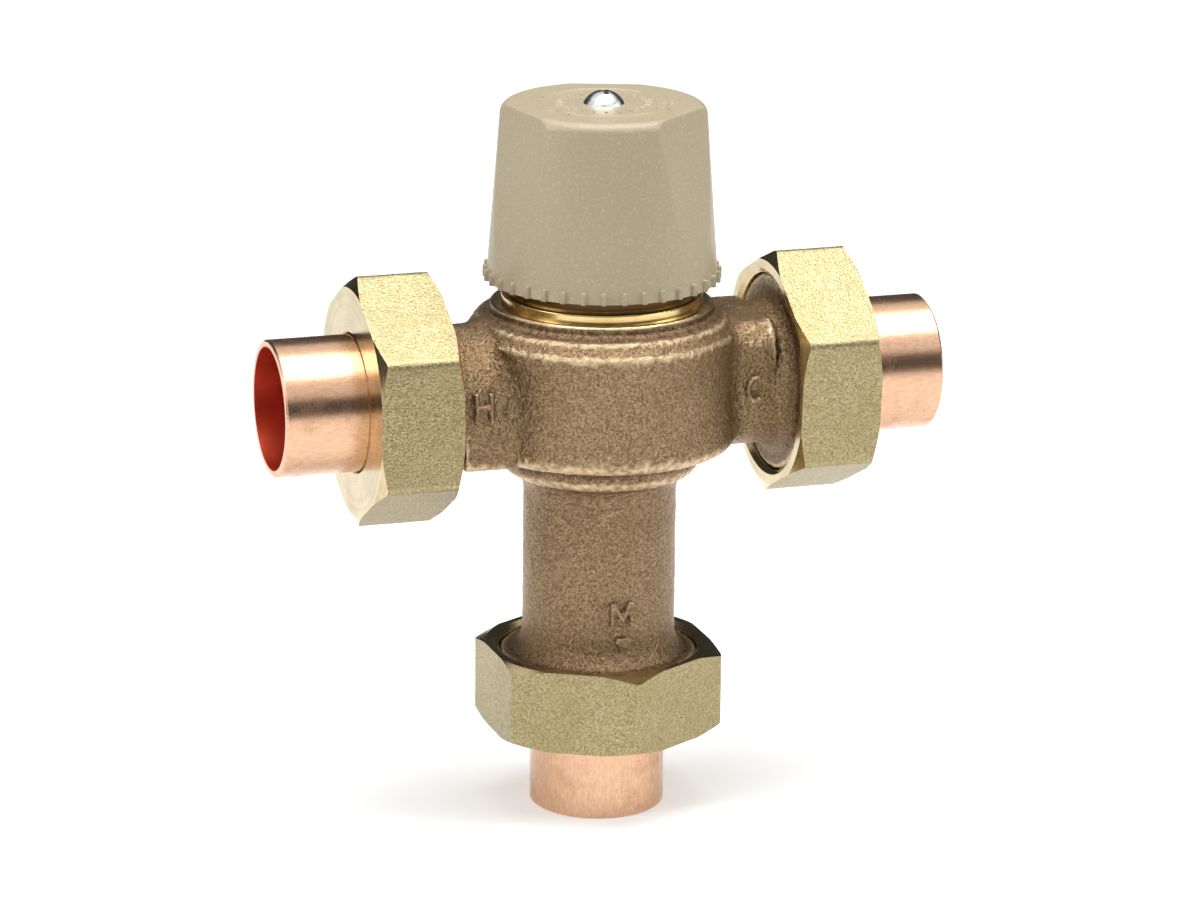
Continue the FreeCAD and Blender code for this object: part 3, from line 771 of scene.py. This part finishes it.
def filled():
    """Solids that fill every hollow, with a little metal left on for the cuts."""
    top = to_axis(RIM_RADIUS + RIM_SPARE, RIM_TOP - RIM_OVERLAP, RIM_TOP + FACE_SPARE)
    return lathe_solids("fill", top, END_RADIUS + END_SPARE, FACE_SPARE)


def cut_stock(finishes):
    """The space in which the lathe's surfaces are the CAD's own."""
    top_cut = RIM_TOP - RIM_CUT
    top = [(MOUTH_PLUG, top_cut)] + to_axis(BEYOND, top_cut, top_cut + PAST_FACE)
    return union_of(lathe_solids("cut", top, BEYOND, PAST_FACE, finishes["x"], finishes["z"]))


def one_skin(name, solids, voxel):
    """Joins solids and wraps them in one even skin."""
    form = gathered(*[part.data for part in solids])
    for part in solids:
        bpy.data.objects.remove(part)
    piece = placed(name, kept(form, bpy.data.meshes.new(name)))
    wrap = piece.modifiers.new("wrap", "REMESH")
    wrap.mode = "VOXEL"
    wrap.voxel_size = voxel
    return plain(piece)


casting = one_skin("casting", [cad_solid("body_copy", "valve_body", CAST)] + filled(), VOXEL)
print("blank", triangles(casting), "triangles")

# %% [markdown]
# Sand can't hold a sharp inner corner, so the pattern has a fillet in each one.
# Plain smoothing would also shrink the outer corners. So the skin is smoothed a
# lot in a copy, and a point follows the copy only where that adds metal.


# %% Soften the inner corners
def numbers(items, key, width, kind=float):
    """One property of all items, as rows of numbers."""
    flat = np.empty(len(items) * width, kind)
    items.foreach_get(key, flat)
    return flat.reshape(-1, width)


def skin_numbers(mesh):
    """The points, normals and edges of a mesh."""
    return (numbers(mesh.vertices, "co", 3), numbers(mesh.vertex_normals, "vector", 3),
            numbers(mesh.edges, "vertices", 2, int))


def smoothed(points, edges, rounds, pull=0.6):
    """Moves every point towards the middle of its neighbours, so many times."""
    count = len(points)
    ends = np.concatenate([edges[:, 0], edges[:, 1]])
    others = np.concatenate([edges[:, 1], edges[:, 0]])
    number = np.bincount(ends, minlength=count)[:, None]
    for _ in range(rounds):
        total = np.stack([np.bincount(ends, points[others, axis], count) for axis in range(3)], 1)
        points = points + pull * (total / number - points)
    return points


def set_points(mesh, points):
    mesh.vertices.foreach_set("co", points.ravel())
    mesh.update()


def soften(piece, light_rounds, fillet_rounds):
    """Light smoothing everywhere, and fillets where heavy smoothing would add metal."""
    points, _, edges = skin_numbers(piece.data)
    light = smoothed(points, edges, light_rounds)
    set_points(piece.data, light)
    normals = numbers(piece.data.vertex_normals, "vector", 3)
    added = np.maximum(((smoothed(light, edges, fillet_rounds) - light) * normals).sum(1), 0.0)
    set_points(piece.data, light + normals * added[:, None])
    return added.max() / MM


LIGHT_ROUNDS, FILLET_ROUNDS, LETTER_ROUNDS = 3, 60, 1
print("deepest fillet", round(soften(casting, LIGHT_ROUNDS, FILLET_ROUNDS), 2), "mm")
letters = one_skin("letters", LETTERS, LETTER_VOXEL)
soften(letters, LETTER_ROUNDS, 0)


# %% Rule: the print of the sand
def sand_rule(finish):
    rule = Rule("print_of_the_sand")
    grain_depth, grain_size, ripple_depth, ripple_size, sink, seed = rule.sizes(
        "Grain depth", "Grain size", "Ripple depth", "Ripple size", "Sink", "Seed")
    place = rule.node("GeometryNodeInputPosition")
    outwards = rule.node("GeometryNodeInputNormal")
    grain, ripple = [rule.grains(place, size, seed, 2.0) for size in (grain_size, ripple_size)]
    height = (grain - 0.5) * grain_depth + (ripple - 0.5) * ripple_depth - sink
    return rule.ends(rule.set_place(rule.start, Offset=rule.scaled(outwards, height)), finish)


SAND = sand_rule(CAST)
SKIN_GRAIN, SKIN_RIPPLE, LETTER_GRAIN = 0.26, 0.26, 0.1
GRAIN_SIZE, RIPPLE_SIZE, PRINT_SINK = 1.15, 4.6, 0.1


def sanded(piece, grain, ripple):
    """The same skin with the sand's print on it."""
    name, start = piece.name, piece.data
    bpy.data.objects.remove(piece)
    piece = run(SAND, name, start, Grain_depth=grain * MM, Grain_size=GRAIN_SIZE * MM,
                Ripple_depth=ripple * MM, Ripple_size=RIPPLE_SIZE * MM, Sink=PRINT_SINK * MM,
                Seed=3.0)
    return painted(piece, CAST)


casting = combined(sanded(casting, SKIN_GRAIN, SKIN_RIPPLE), sanded(letters, LETTER_GRAIN, 0.0),
                   "UNION")
print("sand print on", len(casting.data.vertices), "points")

# %% Cut the casting on the lathe
stock = cut_stock(CUT_BRONZE)
combined(stock, cad_solid("body_copy", "valve_body", CUT_BRONZE["z"]), "DIFFERENCE")
combined(casting, stock, "DIFFERENCE")


def mark_proud(piece, rounds, full):
    """Stores how far each point stands out of its surroundings: 0.5 is level."""
    points, normals, edges = skin_numbers(piece.data)
    out = ((points - smoothed(points, edges, rounds)) * normals).sum(1)
    level = np.clip(0.5 + 0.5 * out / full, 0.0, 1.0)
    piece.data.attributes.new("proud", "FLOAT", "POINT").data.foreach_set("value", level)
    return np.percentile(out / MM, [2, 50, 98]).round(3)


shaded(casting, 40)
PROUD_ROUNDS, FULLY_PROUD = 10, 0.22 * MM
print("stands out by, mm", mark_proud(casting, PROUD_ROUNDS, FULLY_PROUD))
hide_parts("valve_body")
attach(casting, "root")
print("casting", triangles(casting), "triangles")

# %% [markdown]
# ## Union nuts
# A nut is a piece of forged hexagon bar, blasted, and then turned: the two faces,
# the cone that cuts the corners back and the bore are bright. So the bar is a
# rule, with the grit's dimples in its sides, and the lathe's space is shared
# with it. What is left of the bar keeps its skin, and the rest is bright.


# %% Rule: a hexagon bar
def bar_rule(finish):
    rule = Rule("hexagon_bar")
    reach, corner, low, high = rule.sizes("Corner reach", "Corner round", "Low end", "High end")
    around, along = rule.counts("Points around", "Points along")
    depth, grain, wave, seed = rule.sizes("Dimple depth", "Dimple size", "Wave depth", "Seed")
    outline = rule.node("GeometryNodeFilletCurve", {"mode": "POLY"},
                        {"Curve": rule.circle(6, reach), "Count": 6, "Radius": corner,
                         "Limit Radius": True})
    axis = rule.node("GeometryNodeCurvePrimitiveLine", None,
                     {"Start": rule.joined(0.0, 0.0, low), "End": rule.joined(0.0, 0.0, high)})
    bar = rule.swept(rule.resampled(axis, along), rule.resampled(outline, around))
    place = rule.node("GeometryNodeInputPosition")
    dimple, swell = [rule.grains(place, size, seed, 1.0) for size in (grain, grain * 5.0)]
    height = (dimple - 0.5) * depth + (swell - 0.5) * wave
    x, y, _ = rule.parts(place)
    sideways = rule.vector("NORMALIZE", rule.joined(x, y, 0.0))
    return rule.ends(rule.set_place(bar, Offset=rule.scaled(sideways, height)), finish)


# %% Make the three nuts
NUT_FLATS, NUT_FACE, NUT_CHAMFER, NUT_WALL, NUT_CORNER = 40.7, 20.9, 1.2, 3.8, 1.5
NUT_BORE, NUT_MOUTH, NUT_BEVEL, TAIL_WAY = 18.35, 0.8, 0.25, 12.65
# Each nut's turn in degrees is also the seed of its dimples.
NUT_TURNS = {"cold": 4.1, "mixed": 29.3, "hot": 0.6}
NUT_REACH = NUT_FLATS / math.sqrt(3)
BAR = bar_rule(BLASTED)


def nut_space(port, inner, outer, finish):
    """The ring that the lathe leaves: two faces, two cones, the bore and the wall."""
    wide, shoulder = NUT_REACH + 2, outer - NUT_WALL
    slant = NUT_CHAMFER / (NUT_REACH - NUT_FACE) * (wide - NUT_FACE)
    outline = [(NUT_FACE, inner), (wide, inner + slant), (wide, outer - slant), (NUT_FACE, outer),
               (TAIL_WAY + NUT_BEVEL, outer), (TAIL_WAY, outer - NUT_BEVEL), (TAIL_WAY, shoulder),
               (NUT_BORE, shoulder), (NUT_BORE, inner + NUT_MOUTH), (NUT_BORE + NUT_MOUTH, inner)]
    return turned(port + "_nut_space", outline, port, finish, ring=True, steps=192)


for port, nut_turn in NUT_TURNS.items():
    node = port + "_union_nut"
    axis = "z" if port == "mixed" else "x"
    ends = [Vector(corner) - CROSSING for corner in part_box(node)]
    inner, outer = sorted(abs(getattr(end, axis)) / MM for end in ends)
    nut = run(BAR, node + "_bright", Corner_reach=NUT_REACH, Corner_round=NUT_CORNER,
              Low_end=inner - 1, High_end=outer + 1, Points_around=420, Points_along=46,
              Dimple_depth=0.09, Dimple_size=0.8, Wave_depth=0.12, Seed=nut_turn)
    nut.data.transform(Matrix.Rotation(math.radians(nut_turn), 4, "Z"))
    combined(to_port(nut, port), nut_space(port, inner, outer, CUT_BRASS[axis]), "INTERSECT")
    shaded(nut, 24)
    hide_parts(node)
    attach(nut, "root")
    print(node, triangles(nut), "triangles")

# %% [markdown]
# ## The knob
# The knob is a moulded cap: a gentle cone with three flats that run out near its
# skirt. Its form is a formula, so a rule can make it: each point has a place
# along the outline and one round it, and its radius is the smaller of the cone's
# and the flat's, blended over a small distance, which is the mould's own radius.
# The hollow inside comes from the CAD knob, cut out after the skin is made.


# %% Rule: a moulded cap with flats
def cap_rule(finish):
    rule = Rule("moulded_cap_with_flats")
    low, high, wide, narrow, cone_low, inset = rule.sizes(
        "Bottom", "Top", "Bottom radius", "Top radius", "Cone starts", "Inset")
    reach, runs_out, flat_turn, blend, top_round, flat_round = rule.sizes(
        "Flat reach", "Flat runs out", "Flat turn", "Edge blend", "Top round", "Flat top round")
    rows, columns = rule.counts("Rows", "Columns")
    sheet = rule.node("GeometryNodeMeshGrid", None,
                      {"Size X": 1.0, "Size Y": 1.0, "Vertices X": rows, "Vertices Y": columns})
    u, v, _ = rule.parts(rule.node("GeometryNodeInputPosition"))
    u, angle = u + 0.5, (v + 0.5) * (2 * math.pi)

    def share(first, last):
        """0 before one row, 1 after another and even between them."""
        return rule.node("ShaderNodeMapRange", None,
                         {"Value": u, "From Min": first, "From Max": last})

    disc, bend, side, floor = share(0.0, 0.12), share(0.12, 0.24), share(0.24, 0.94), share(0.94, 1.0)
    folded = (angle - flat_turn).math("WRAP", math.pi / 3, -math.pi / 3)
    high_cone = high + inset

    def cone(height):
        return wide - inset - (height - cone_low) * (wide - narrow) / (high_cone - cone_low)

    top_flat = reach - inset
    lean = (cone(runs_out) - top_flat) / (high_cone - runs_out)

    def flat(height):
        return (top_flat + (high_cone - height) * lean) / folded.math("COSINE")

    flatness = (cone(high) - flat(high)).between(-0.1 * MM, 1.1 * MM)
    edge = top_round + (flat_round - top_round) * flatness
    swing = bend * (math.pi / 2)
    height = high - edge * (1.0 - swing.math("COSINE")) - side * (high - edge - low)
    radius = cone(height).math("SMOOTH_MIN", flat(height), blend)
    radius = (radius - edge * (1.0 - swing.math("SINE"))) * disc * (1.0 - floor)
    formed = rule.set_place(sheet, Position=rule.around(radius, angle, height))
    whole = rule.node("GeometryNodeMergeByDistance", None,
                      {"Geometry": formed, "Distance": 0.002 * MM})
    return rule.ends(whole, finish)


# %% Rule: ribs round the skirt
def round_rule(finish):
    rule = Rule("copies_round_an_axis")
    (count,), (first,) = rule.counts("Count"), rule.sizes("First turn")
    spots = rule.node("GeometryNodePoints", None, {"Count": count})
    number = rule.node("GeometryNodeInputIndex")
    turn = rule.joined(0.0, 0.0, first + number * (2 * math.pi) / count)
    copies = rule.node("GeometryNodeInstanceOnPoints", None,
                       {"Points": spots, "Instance": rule.start, "Rotation": turn})
    return rule.ends(copies, finish)


# %% Make the knob
KNOB_LOW, KNOB_HIGH, KNOB_WIDE, KNOB_NARROW = 20.3, 52.5, 21.05, 18.6
FLAT_REACH, FLAT_END, FLAT_TURN, FLAT_TOP_ROUND = 16.4, 22.6, 71.0, 0.45
RIB_COUNT, RIB_TURN, RIB_WIDTH, RIB_HEIGHT, RIB_PROUD = 36, 3.0, 0.86, 2.2, 0.65
SKIN_SINK, KNOB_WALL, SCREW_WAY, SCREW_LOW, SCREW_HIGH = 0.02, 1.2, 3.2, 44.0, 54.0
CAP = cap_rule(KNOB_PLASTIC)
ROUND = round_rule(KNOB_PLASTIC)


def cap(name, inset, low, high, blend, top_round, columns):
    """The knob's form, inset all over; heights are from the crossing."""
    piece = run(CAP, name, Bottom=low * MM, Top=high * MM, Bottom_radius=KNOB_WIDE * MM,
                Top_radius=KNOB_NARROW * MM, Cone_starts=KNOB_LOW * MM, Inset=inset * MM,
                Flat_reach=FLAT_REACH * MM, Flat_runs_out=FLAT_END * MM,
                Flat_turn=math.radians(FLAT_TURN), Edge_blend=blend * MM, Top_round=top_round * MM,
                Flat_top_round=min(top_round, FLAT_TOP_ROUND) * MM, Rows=101, Columns=columns + 1)
    piece.data.transform(Matrix.Translation(CROSSING))
    closed(gathered(piece.data), piece.data)
    return piece


def rib_mesh():
    """One rib in place at angle 0: a bar with a round top and softened long edges."""
    form = bmesh.new()
    half, low = RIB_WIDTH / 2, KNOB_LOW - 0.05
    peak = low + RIB_HEIGHT
    arch = [(half * math.cos(a), peak - half + half * math.sin(a))
            for a in [math.pi * step / 8 for step in range(9)]]
    outline = [(half, low)] + arch + [(-half, low)]
    levels = [(KNOB_WIDE - 1.0, 1.0), (KNOB_WIDE + RIB_PROUD - 0.14, 1.0),
              (KNOB_WIDE + RIB_PROUD - 0.03, 0.9), (KNOB_WIDE + RIB_PROUD, 0.7)]
    middle = (low + peak) / 2
    rows = [[form.verts.new((r, y * shrink, middle + (z - middle) * (0.9 + 0.1 * shrink)))
             for y, z in outline] for r, shrink in levels]
    for inner, outer in zip(rows, rows[1:]):
        for here in range(len(outline)):
            after = (here + 1) % len(outline)
            form.faces.new((inner[here], inner[after], outer[after], outer[here]))
    form.faces.new(rows[0])
    form.faces.new(list(reversed(rows[-1])))
    mesh = closed(form, bpy.data.meshes.new("rib"))
    mesh.transform(Matrix.Scale(MM, 4))
    return mesh


knob = cap("knob_skin", 0.0, KNOB_LOW - SKIN_SINK, KNOB_HIGH, blend=0.22, top_round=1.7,
           columns=432)
ribs = run(ROUND, "ribs", rib_mesh(), Count=RIB_COUNT, First_turn=math.radians(RIB_TURN))
ribs.data.transform(Matrix.Translation(CROSSING))
combined(knob, ribs, "UNION")
hollow = cap("hollow", KNOB_WALL, KNOB_LOW - 2.0, KNOB_HIGH - KNOB_WALL, blend=0.3, top_round=0.5,
             columns=180)
screw_way = [(0, SCREW_LOW)] + to_axis(SCREW_WAY, SCREW_LOW, SCREW_HIGH)
combined(hollow, turned("screw_way", screw_way, "up"), "UNION")
combined(hollow, cad_solid("knob_copy", "knob", KNOB_PLASTIC), "DIFFERENCE")
combined(knob, hollow, "DIFFERENCE")
shaded(painted(knob, KNOB_PLASTIC), 35)
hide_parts("knob")
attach(knob, "knob")
print("knob", triangles(knob), "triangles, lowest",
      numbers(knob.data.vertices, "co", 3).min(0).round(4), "CAD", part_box("knob")[0])

# %% [markdown]
# The knob's top carries moulded marks: an arc with an arrow at each end, a plain
# arc across from it, a minus, a plus and a ring of ticks. They are beads again.

# %% Marks on the knob
MARK_RADIUS, MARK_BEAD, MARK_SINK, SIGN = 11.6, 0.3, 0.1, 1.1
ARROW_BACK, ARROW_SIDE, TICK_IN, TICK_OUT, LONG_TICK = 1.7, 1.1, 7.4, 8.6, 9.2
ARROW_ARC, PLAIN_ARC, MINUS_AT, PLUS_AT = (215, 325), (35, 145), 200, 340


def on_knob_top(x, y):
    """A point at the height of the knob's top, a little sunk."""
    return CROSSING + Vector((x, y, KNOB_HIGH - MARK_SINK)) * MM


def outward(degrees):
    """The way out from the knob's axis at an angle."""
    return Vector((math.cos(math.radians(degrees)), math.sin(math.radians(degrees))))


def arrow_strokes(degrees, way):
    """Two short strokes that make an arrow head at the end of the arc."""
    out = outward(degrees)
    tip = out * MARK_RADIUS
    back = Vector((out.y, -out.x)) * way * ARROW_BACK
    return [[tuple(tip), tuple(tip + back + out * side)] for side in (ARROW_SIDE, -ARROW_SIDE)]


def sign_strokes(degrees, upright):
    """A minus, or a plus if it has an upright stroke."""
    out = outward(degrees)
    arms = [Vector((-out.y, out.x)) * SIGN] + [out * SIGN] * upright
    return [[tuple(out * MARK_RADIUS - arm), tuple(out * MARK_RADIUS + arm)] for arm in arms]


def tick_strokes():
    """Short ticks in a ring, one every 15 degrees, longer at each quarter."""
    return [[tuple(outward(degrees) * TICK_IN),
             tuple(outward(degrees) * (TICK_OUT if degrees % 90 else LONG_TICK))]
            for degrees in range(0, 360, 15)]


mark_strokes = [arc(0, 0, MARK_RADIUS, MARK_RADIUS, *ARROW_ARC, 40)]
mark_strokes += arrow_strokes(ARROW_ARC[0], -1) + arrow_strokes(ARROW_ARC[1], 1)
mark_strokes += sign_strokes(MINUS_AT, False) + sign_strokes(PLUS_AT, True) + tick_strokes()
mark_strokes += [arc(0, 0, MARK_RADIUS, MARK_RADIUS, *PLAIN_ARC, 40)]
marks = run(bead_rule(KNOB_PLASTIC), "knob_marks", strokes_mesh("marks", mark_strokes, on_knob_top),
            Bead_radius=MARK_BEAD * MM, Bead_sides=8)
shaded(marks, 50)
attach(marks, "knob")
print("marks", triangles(marks), "triangles")

# %% [markdown]
# ## Springs
# A compression spring is wire wound on a mandrel, with both ends closed so that
# they sit flat. The rule follows that: the first and last half turn stay level
# and the rest climbs evenly. The ends of each spring belong to different bodies.
# The return spring spans two joints, the stem's and the shuttle's. It is wound
# in two halves that meet at mid height.


# %% Rule: a wound spring
def spring_rule(finish):
    rule = Rule("wound_spring")
    radius, wire, turns, low, high, first, last = rule.sizes(
        "Radius", "Wire radius", "Turns", "Low", "High", "First share", "Last share")
    count, sides = rule.counts("Points", "Sides")
    points = rule.resampled(rule.node("GeometryNodeCurvePrimitiveLine"), count)
    along = (first + rule.node("GeometryNodeSplineParameter") * (last - first)) * turns
    climb = rule.node("ShaderNodeMapRange", None,
                      {"Value": along, "From Min": 0.5, "From Max": turns - 0.5,
                       "To Min": low + wire, "To Max": high - wire})
    place = rule.around(radius, along * (2 * math.pi), climb)
    wound = rule.set_place(points, Position=place)
    return rule.ends(rule.swept(wound, rule.circle(sides, wire)), finish)


# %% Wind the springs
SPRING = spring_rule(SPRING_STEEL)


def wound_spring(node, port, radius, turns, share, part=""):
    """All or a share of a spring in its CAD node's place, and its two end heights."""
    low, high = heights(node, port)
    size = Vector(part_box(node)[1]) - Vector(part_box(node)[0])
    wire = size.y / 2 / MM - radius
    spring = run(SPRING, node + "_wound" + part, Radius=radius, Wire_radius=wire, Turns=turns,
                 Low=low, High=high, First_share=share[0], Last_share=share[1],
                 Points=int(turns * (share[1] - share[0]) * 40) + 1, Sides=12)
    closed(gathered(to_port(spring, port).data), spring.data)
    shaded(spring, 60)
    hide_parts(node)
    print(spring.name, triangles(spring), "triangles, wire radius", round(wire, 3))
    return spring, low + 2 * wire, high - 2 * wire


def bent(spring):
    """Bakes the spring's place into its mesh."""
    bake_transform(spring)


spring, low, high = wound_spring("return_spring", "up", 8.8, 3.0, (0.0, 0.5), "_lower")
bent(spring)
spring, low, high = wound_spring("return_spring", "up", 8.8, 3.0, (0.5, 1.0), "_upper")
bent(spring)
for port in ("hot", "cold"):
    spring, low, high = wound_spring(port + "_check_spring", port, 3.7, 3.5, (0.0, 1.0))
    if sum(heights(port + "_check_poppet", port)) < low + high:
        low, high = high, low
    bent(spring)

# %% [markdown]
# ## Inlet screens
# Each screen is a disc of woven wire held in a pressed ferrule. Plain weave is
# one formula: a wire rises and falls as a cosine with one pitch for each half
# wave, and the wires across do the opposite, so they pass over and under.


# %% Rule: a woven disc
def weave_rule(finish):
    rule = Rule("woven_disc")
    radius, pitch, wire, height = rule.sizes("Radius", "Pitch", "Wire radius", "Height")
    count, points, sides = rule.counts("Wires", "Points", "Sides")
    across = (rule.node("GeometryNodeInputIndex") - (count - 1.0) / 2.0) * pitch
    spots = rule.node("GeometryNodePoints", None,
                      {"Count": count, "Position": rule.joined(0.0, across, 0.0)})
    line = rule.node("GeometryNodeCurvePrimitiveLine", None,
                     {"Start": (-1.0, 0.0, 0.0), "End": (1.0, 0.0, 0.0)})
    x, y, _ = rule.parts(rule.node("GeometryNodeInputPosition"))
    half = (radius * radius - y * y) ** 0.5
    wires = rule.node("GeometryNodeInstanceOnPoints", None,
                      {"Points": spots, "Instance": rule.resampled(line, points),
                       "Scale": rule.joined(half, 1.0, 1.0)})
    real = rule.node("GeometryNodeRealizeInstances", None, (wires,))
    wave = (x * math.pi / pitch).math("COSINE") * (y * math.pi / pitch).math("COSINE") * wire
    waved = rule.set_place(real, Offset=rule.joined(0.0, 0.0, wave))
    other = rule.node("GeometryNodeTransform", None,
                      {"Geometry": waved, "Rotation": (0.0, 0.0, math.pi / 2),
                       "Scale": (1.0, 1.0, -1.0)})
    both = rule.node("GeometryNodeJoinGeometry", None, (waved,))
    rule.group.links.new(other.socket, both.socket.node.inputs[0])
    lifted = rule.node("GeometryNodeTransform", None,
                       {"Geometry": rule.swept(both, rule.circle(sides, wire)),
                        "Translation": rule.joined(0.0, 0.0, height)})
    return rule.ends(lifted, finish)


# %% Weave the screens
WEAVE = weave_rule(SCREEN_STEEL)
RIM_LOW, RIM_HIGH, CUP_HIGH, RIM_OUT, CUP_OUT, CUP_IN = 38.5, 39.1, 41.5, 10.8, 8.6, 8.1
BEVEL, BEND, CLOTH_IN, CLOTH_DOWN = 0.15, 0.2, 0.25, 0.32
FERRULE = [(CUP_IN, RIM_LOW + BEVEL), (CUP_IN + BEVEL, RIM_LOW), (RIM_OUT - BEVEL, RIM_LOW),
           (RIM_OUT, RIM_LOW + BEVEL), (RIM_OUT, RIM_HIGH - BEVEL), (RIM_OUT - BEVEL, RIM_HIGH),
           (CUP_OUT + BEND, RIM_HIGH), (CUP_OUT, RIM_HIGH + BEND), (CUP_OUT, CUP_HIGH - BEND),
           (CUP_OUT - BEND, CUP_HIGH), (CUP_IN, CUP_HIGH)]

for port in ("hot", "cold"):
    screen = run(WEAVE, port + "_woven_screen", Radius=CUP_OUT - CLOTH_IN, Pitch=0.9,
                 Wire_radius=0.13, Height=CUP_HIGH - CLOTH_DOWN, Wires=17, Points=55, Sides=6)
    closed(gathered(to_port(screen, port).data), screen.data)
    ring = turned(port + "_ferrule", FERRULE, port, SCREEN_STEEL, 96, ring=True)
    kept(gathered(screen.data, ring.data), screen.data)
    bpy.data.objects.remove(ring)
    shaded(screen, 40)
    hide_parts(port + "_screen")
    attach(screen, "root")
    print(screen.name, triangles(screen), "triangles")

# %% [markdown]
# ## The studio
# A pale floor and a white surround, one large softbox overhead and a smaller one
# at each side. The floor glows more with distance, so low views stay white too.
# Polished metal only looks like metal when something dark stands round it, so
# one dark card rings the table and a second stands behind. Only reflections see
# the cards.

# %% Floor and surround
WHITE = (1, 1, 1, 1)
PAPER, ROOM_LIGHT, SEEN_LIGHT = (0.82, 0.82, 0.82, 1), 0.18, 1.0
FLOOR_GLOW, FAR_GLOW, FADE = 0.42, 0.5, (0.6, 1.2)
FLOOR_HALF = 3.0


def blank_tree(owner):
    """The emptied tree of a material or a world."""
    owner.use_nodes = True
    tree = Tree(owner.node_tree)
    tree.group.nodes.clear()
    return tree


def seen_rays(tree):
    """1 for the rays that carry the background to the eye, 0 for those that light the object."""
    path = tree.node("ShaderNodeLightPath", None, None, "Is Camera Ray")
    shiny = path.other("Is Glossy Ray").math("MAXIMUM", path.other("Is Transmission Ray"))
    return path.math("MAXIMUM", shiny)


def pale_floor():
    material = bpy.data.materials.new("pale_floor")
    tree = blank_tree(material)
    paper = tree.node("ShaderNodeBsdfDiffuse", None, {"Color": PAPER})
    place = tree.node("ShaderNodeTexCoord", None, None, "Object")
    strength = seen_rays(tree) * (FLOOR_GLOW + tree.vector("LENGTH", place).between(*FADE) * FAR_GLOW)
    glow = tree.node("ShaderNodeEmission", None, {"Color": WHITE, "Strength": strength})
    both = tree.node("ShaderNodeAddShader", None, (paper, glow))
    tree.node("ShaderNodeOutputMaterial", None, {"Surface": both})
    return material


def staged(name, form, material, unseen_by=()):
    """A thing of the studio, which isn't part of the object. Some rays can pass through it."""
    mesh = kept(form, bpy.data.meshes.new(name))
    mesh.materials.append(material)
    thing = placed(name, mesh)
    for rays in unseen_by:
        setattr(thing, "visible_" + rays, False)


sheet = bmesh.new()
sheet.faces.new([sheet.verts.new((x * FLOOR_HALF, y * FLOOR_HALF, 0))
                 for x, y in ((-1, -1), (1, -1), (1, 1), (-1, 1))])
staged("floor", sheet, pale_floor())

world = bpy.data.worlds.new("surround")
bpy.context.scene.world = world
air = blank_tree(world)
room, paper = [air.node("ShaderNodeBackground", None, {"Color": WHITE, "Strength": strength})
               for strength in (ROOM_LIGHT, SEEN_LIGHT)]
shown = air.node("ShaderNodeMixShader", None, (seen_rays(air), room, paper))
air.node("ShaderNodeOutputWorld", None, {"Surface": shown})
print("floor", 2 * FLOOR_HALF, "m wide")

# %% The dark cards that only reflections see
CARD_DISTANCE, CARD_GREY, CARD_STEPS = 0.9, (0.05, 0.05, 0.05, 1), 48


def dark_finish():
    material = bpy.data.materials.new("dark_card")
    tree = blank_tree(material)
    grey = tree.node("ShaderNodeEmission", None, {"Color": CARD_GREY, "Strength": 1.0})
    tree.node("ShaderNodeOutputMaterial", None, {"Surface": grey})
    return material


def dark_card(name, first, last, low, high, material):
    """An upright curved card between two angles and two heights."""
    form = bmesh.new()
    columns = []
    for step in range(CARD_STEPS + 1):
        a = math.radians(first + (last - first) * step / CARD_STEPS)
        x, y = CARD_DISTANCE * math.cos(a), CARD_DISTANCE * math.sin(a)
        columns.append((form.verts.new((x, y, low)), form.verts.new((x, y, high))))
    for here, after in zip(columns, columns[1:]):
        form.faces.new((here[0], after[0], after[1], here[1]))
    staged(name, form, material, ("camera", "diffuse", "shadow", "transmission"))


DARK = dark_finish()
dark_card("card_round_table", 0, 360, 0.02, 0.52, DARK)
dark_card("card_at_back", 15, 140, 0.52, 0.85, DARK)
print("two cards at", CARD_DISTANCE, "m")


# %% Three softboxes
def softbox(name, place, wide, high, power):
    """An area light that faces the middle of the valve."""
    lamp = bpy.data.lights.new(name, "AREA")
    lamp.shape = "RECTANGLE"
    lamp.size, lamp.size_y = wide, high
    lamp.energy = power
    light = placed(name, lamp)
    light.location = place
    light.rotation_euler = (CROSSING - Vector(place)).to_track_quat("-Z", "Y").to_euler()
    print(name, "softbox, power", power)


softbox("overhead", (0.0, -0.08, 1.0), 1.1, 0.7, 11.5)
softbox("left", (-1.1, -0.15, 0.5), 0.4, 0.5, 4.2)
softbox("right", (1.0, -0.5, 0.6), 0.5, 0.5, 4.0)

# %% [markdown]
# ## The camera
# A long lens from slightly above and a little to the left, as a catalogue
# picture has it, with the whole valve in the frame.

# %% Camera
AZIMUTH, ELEVATION, ROLL = -18.136, 15.437, 0.647
DISTANCE, LENS, AIM_DROP = 0.9547, 156.7, 12.6 * MM

turn, rise = math.radians(AZIMUTH), math.radians(ELEVATION)
away = Vector((math.sin(turn) * math.cos(rise), -math.cos(turn) * math.cos(rise), math.sin(rise)))
lens = bpy.data.cameras.new("camera")
lens.lens = LENS
lens.sensor_width = 36.0
camera = placed("camera", lens)
camera.location = CROSSING + away * DISTANCE
aim = CROSSING - Vector((0, 0, AIM_DROP)) - camera.location
look = aim.to_track_quat("-Z", "Y").to_matrix()
camera.rotation_euler = (look @ Matrix.Rotation(math.radians(ROLL), 3, "Z")).to_euler()
bpy.context.scene.camera = camera
bpy.context.scene.view_settings.view_transform = "Standard"
print("camera at", [round(x, 3) for x in camera.location])
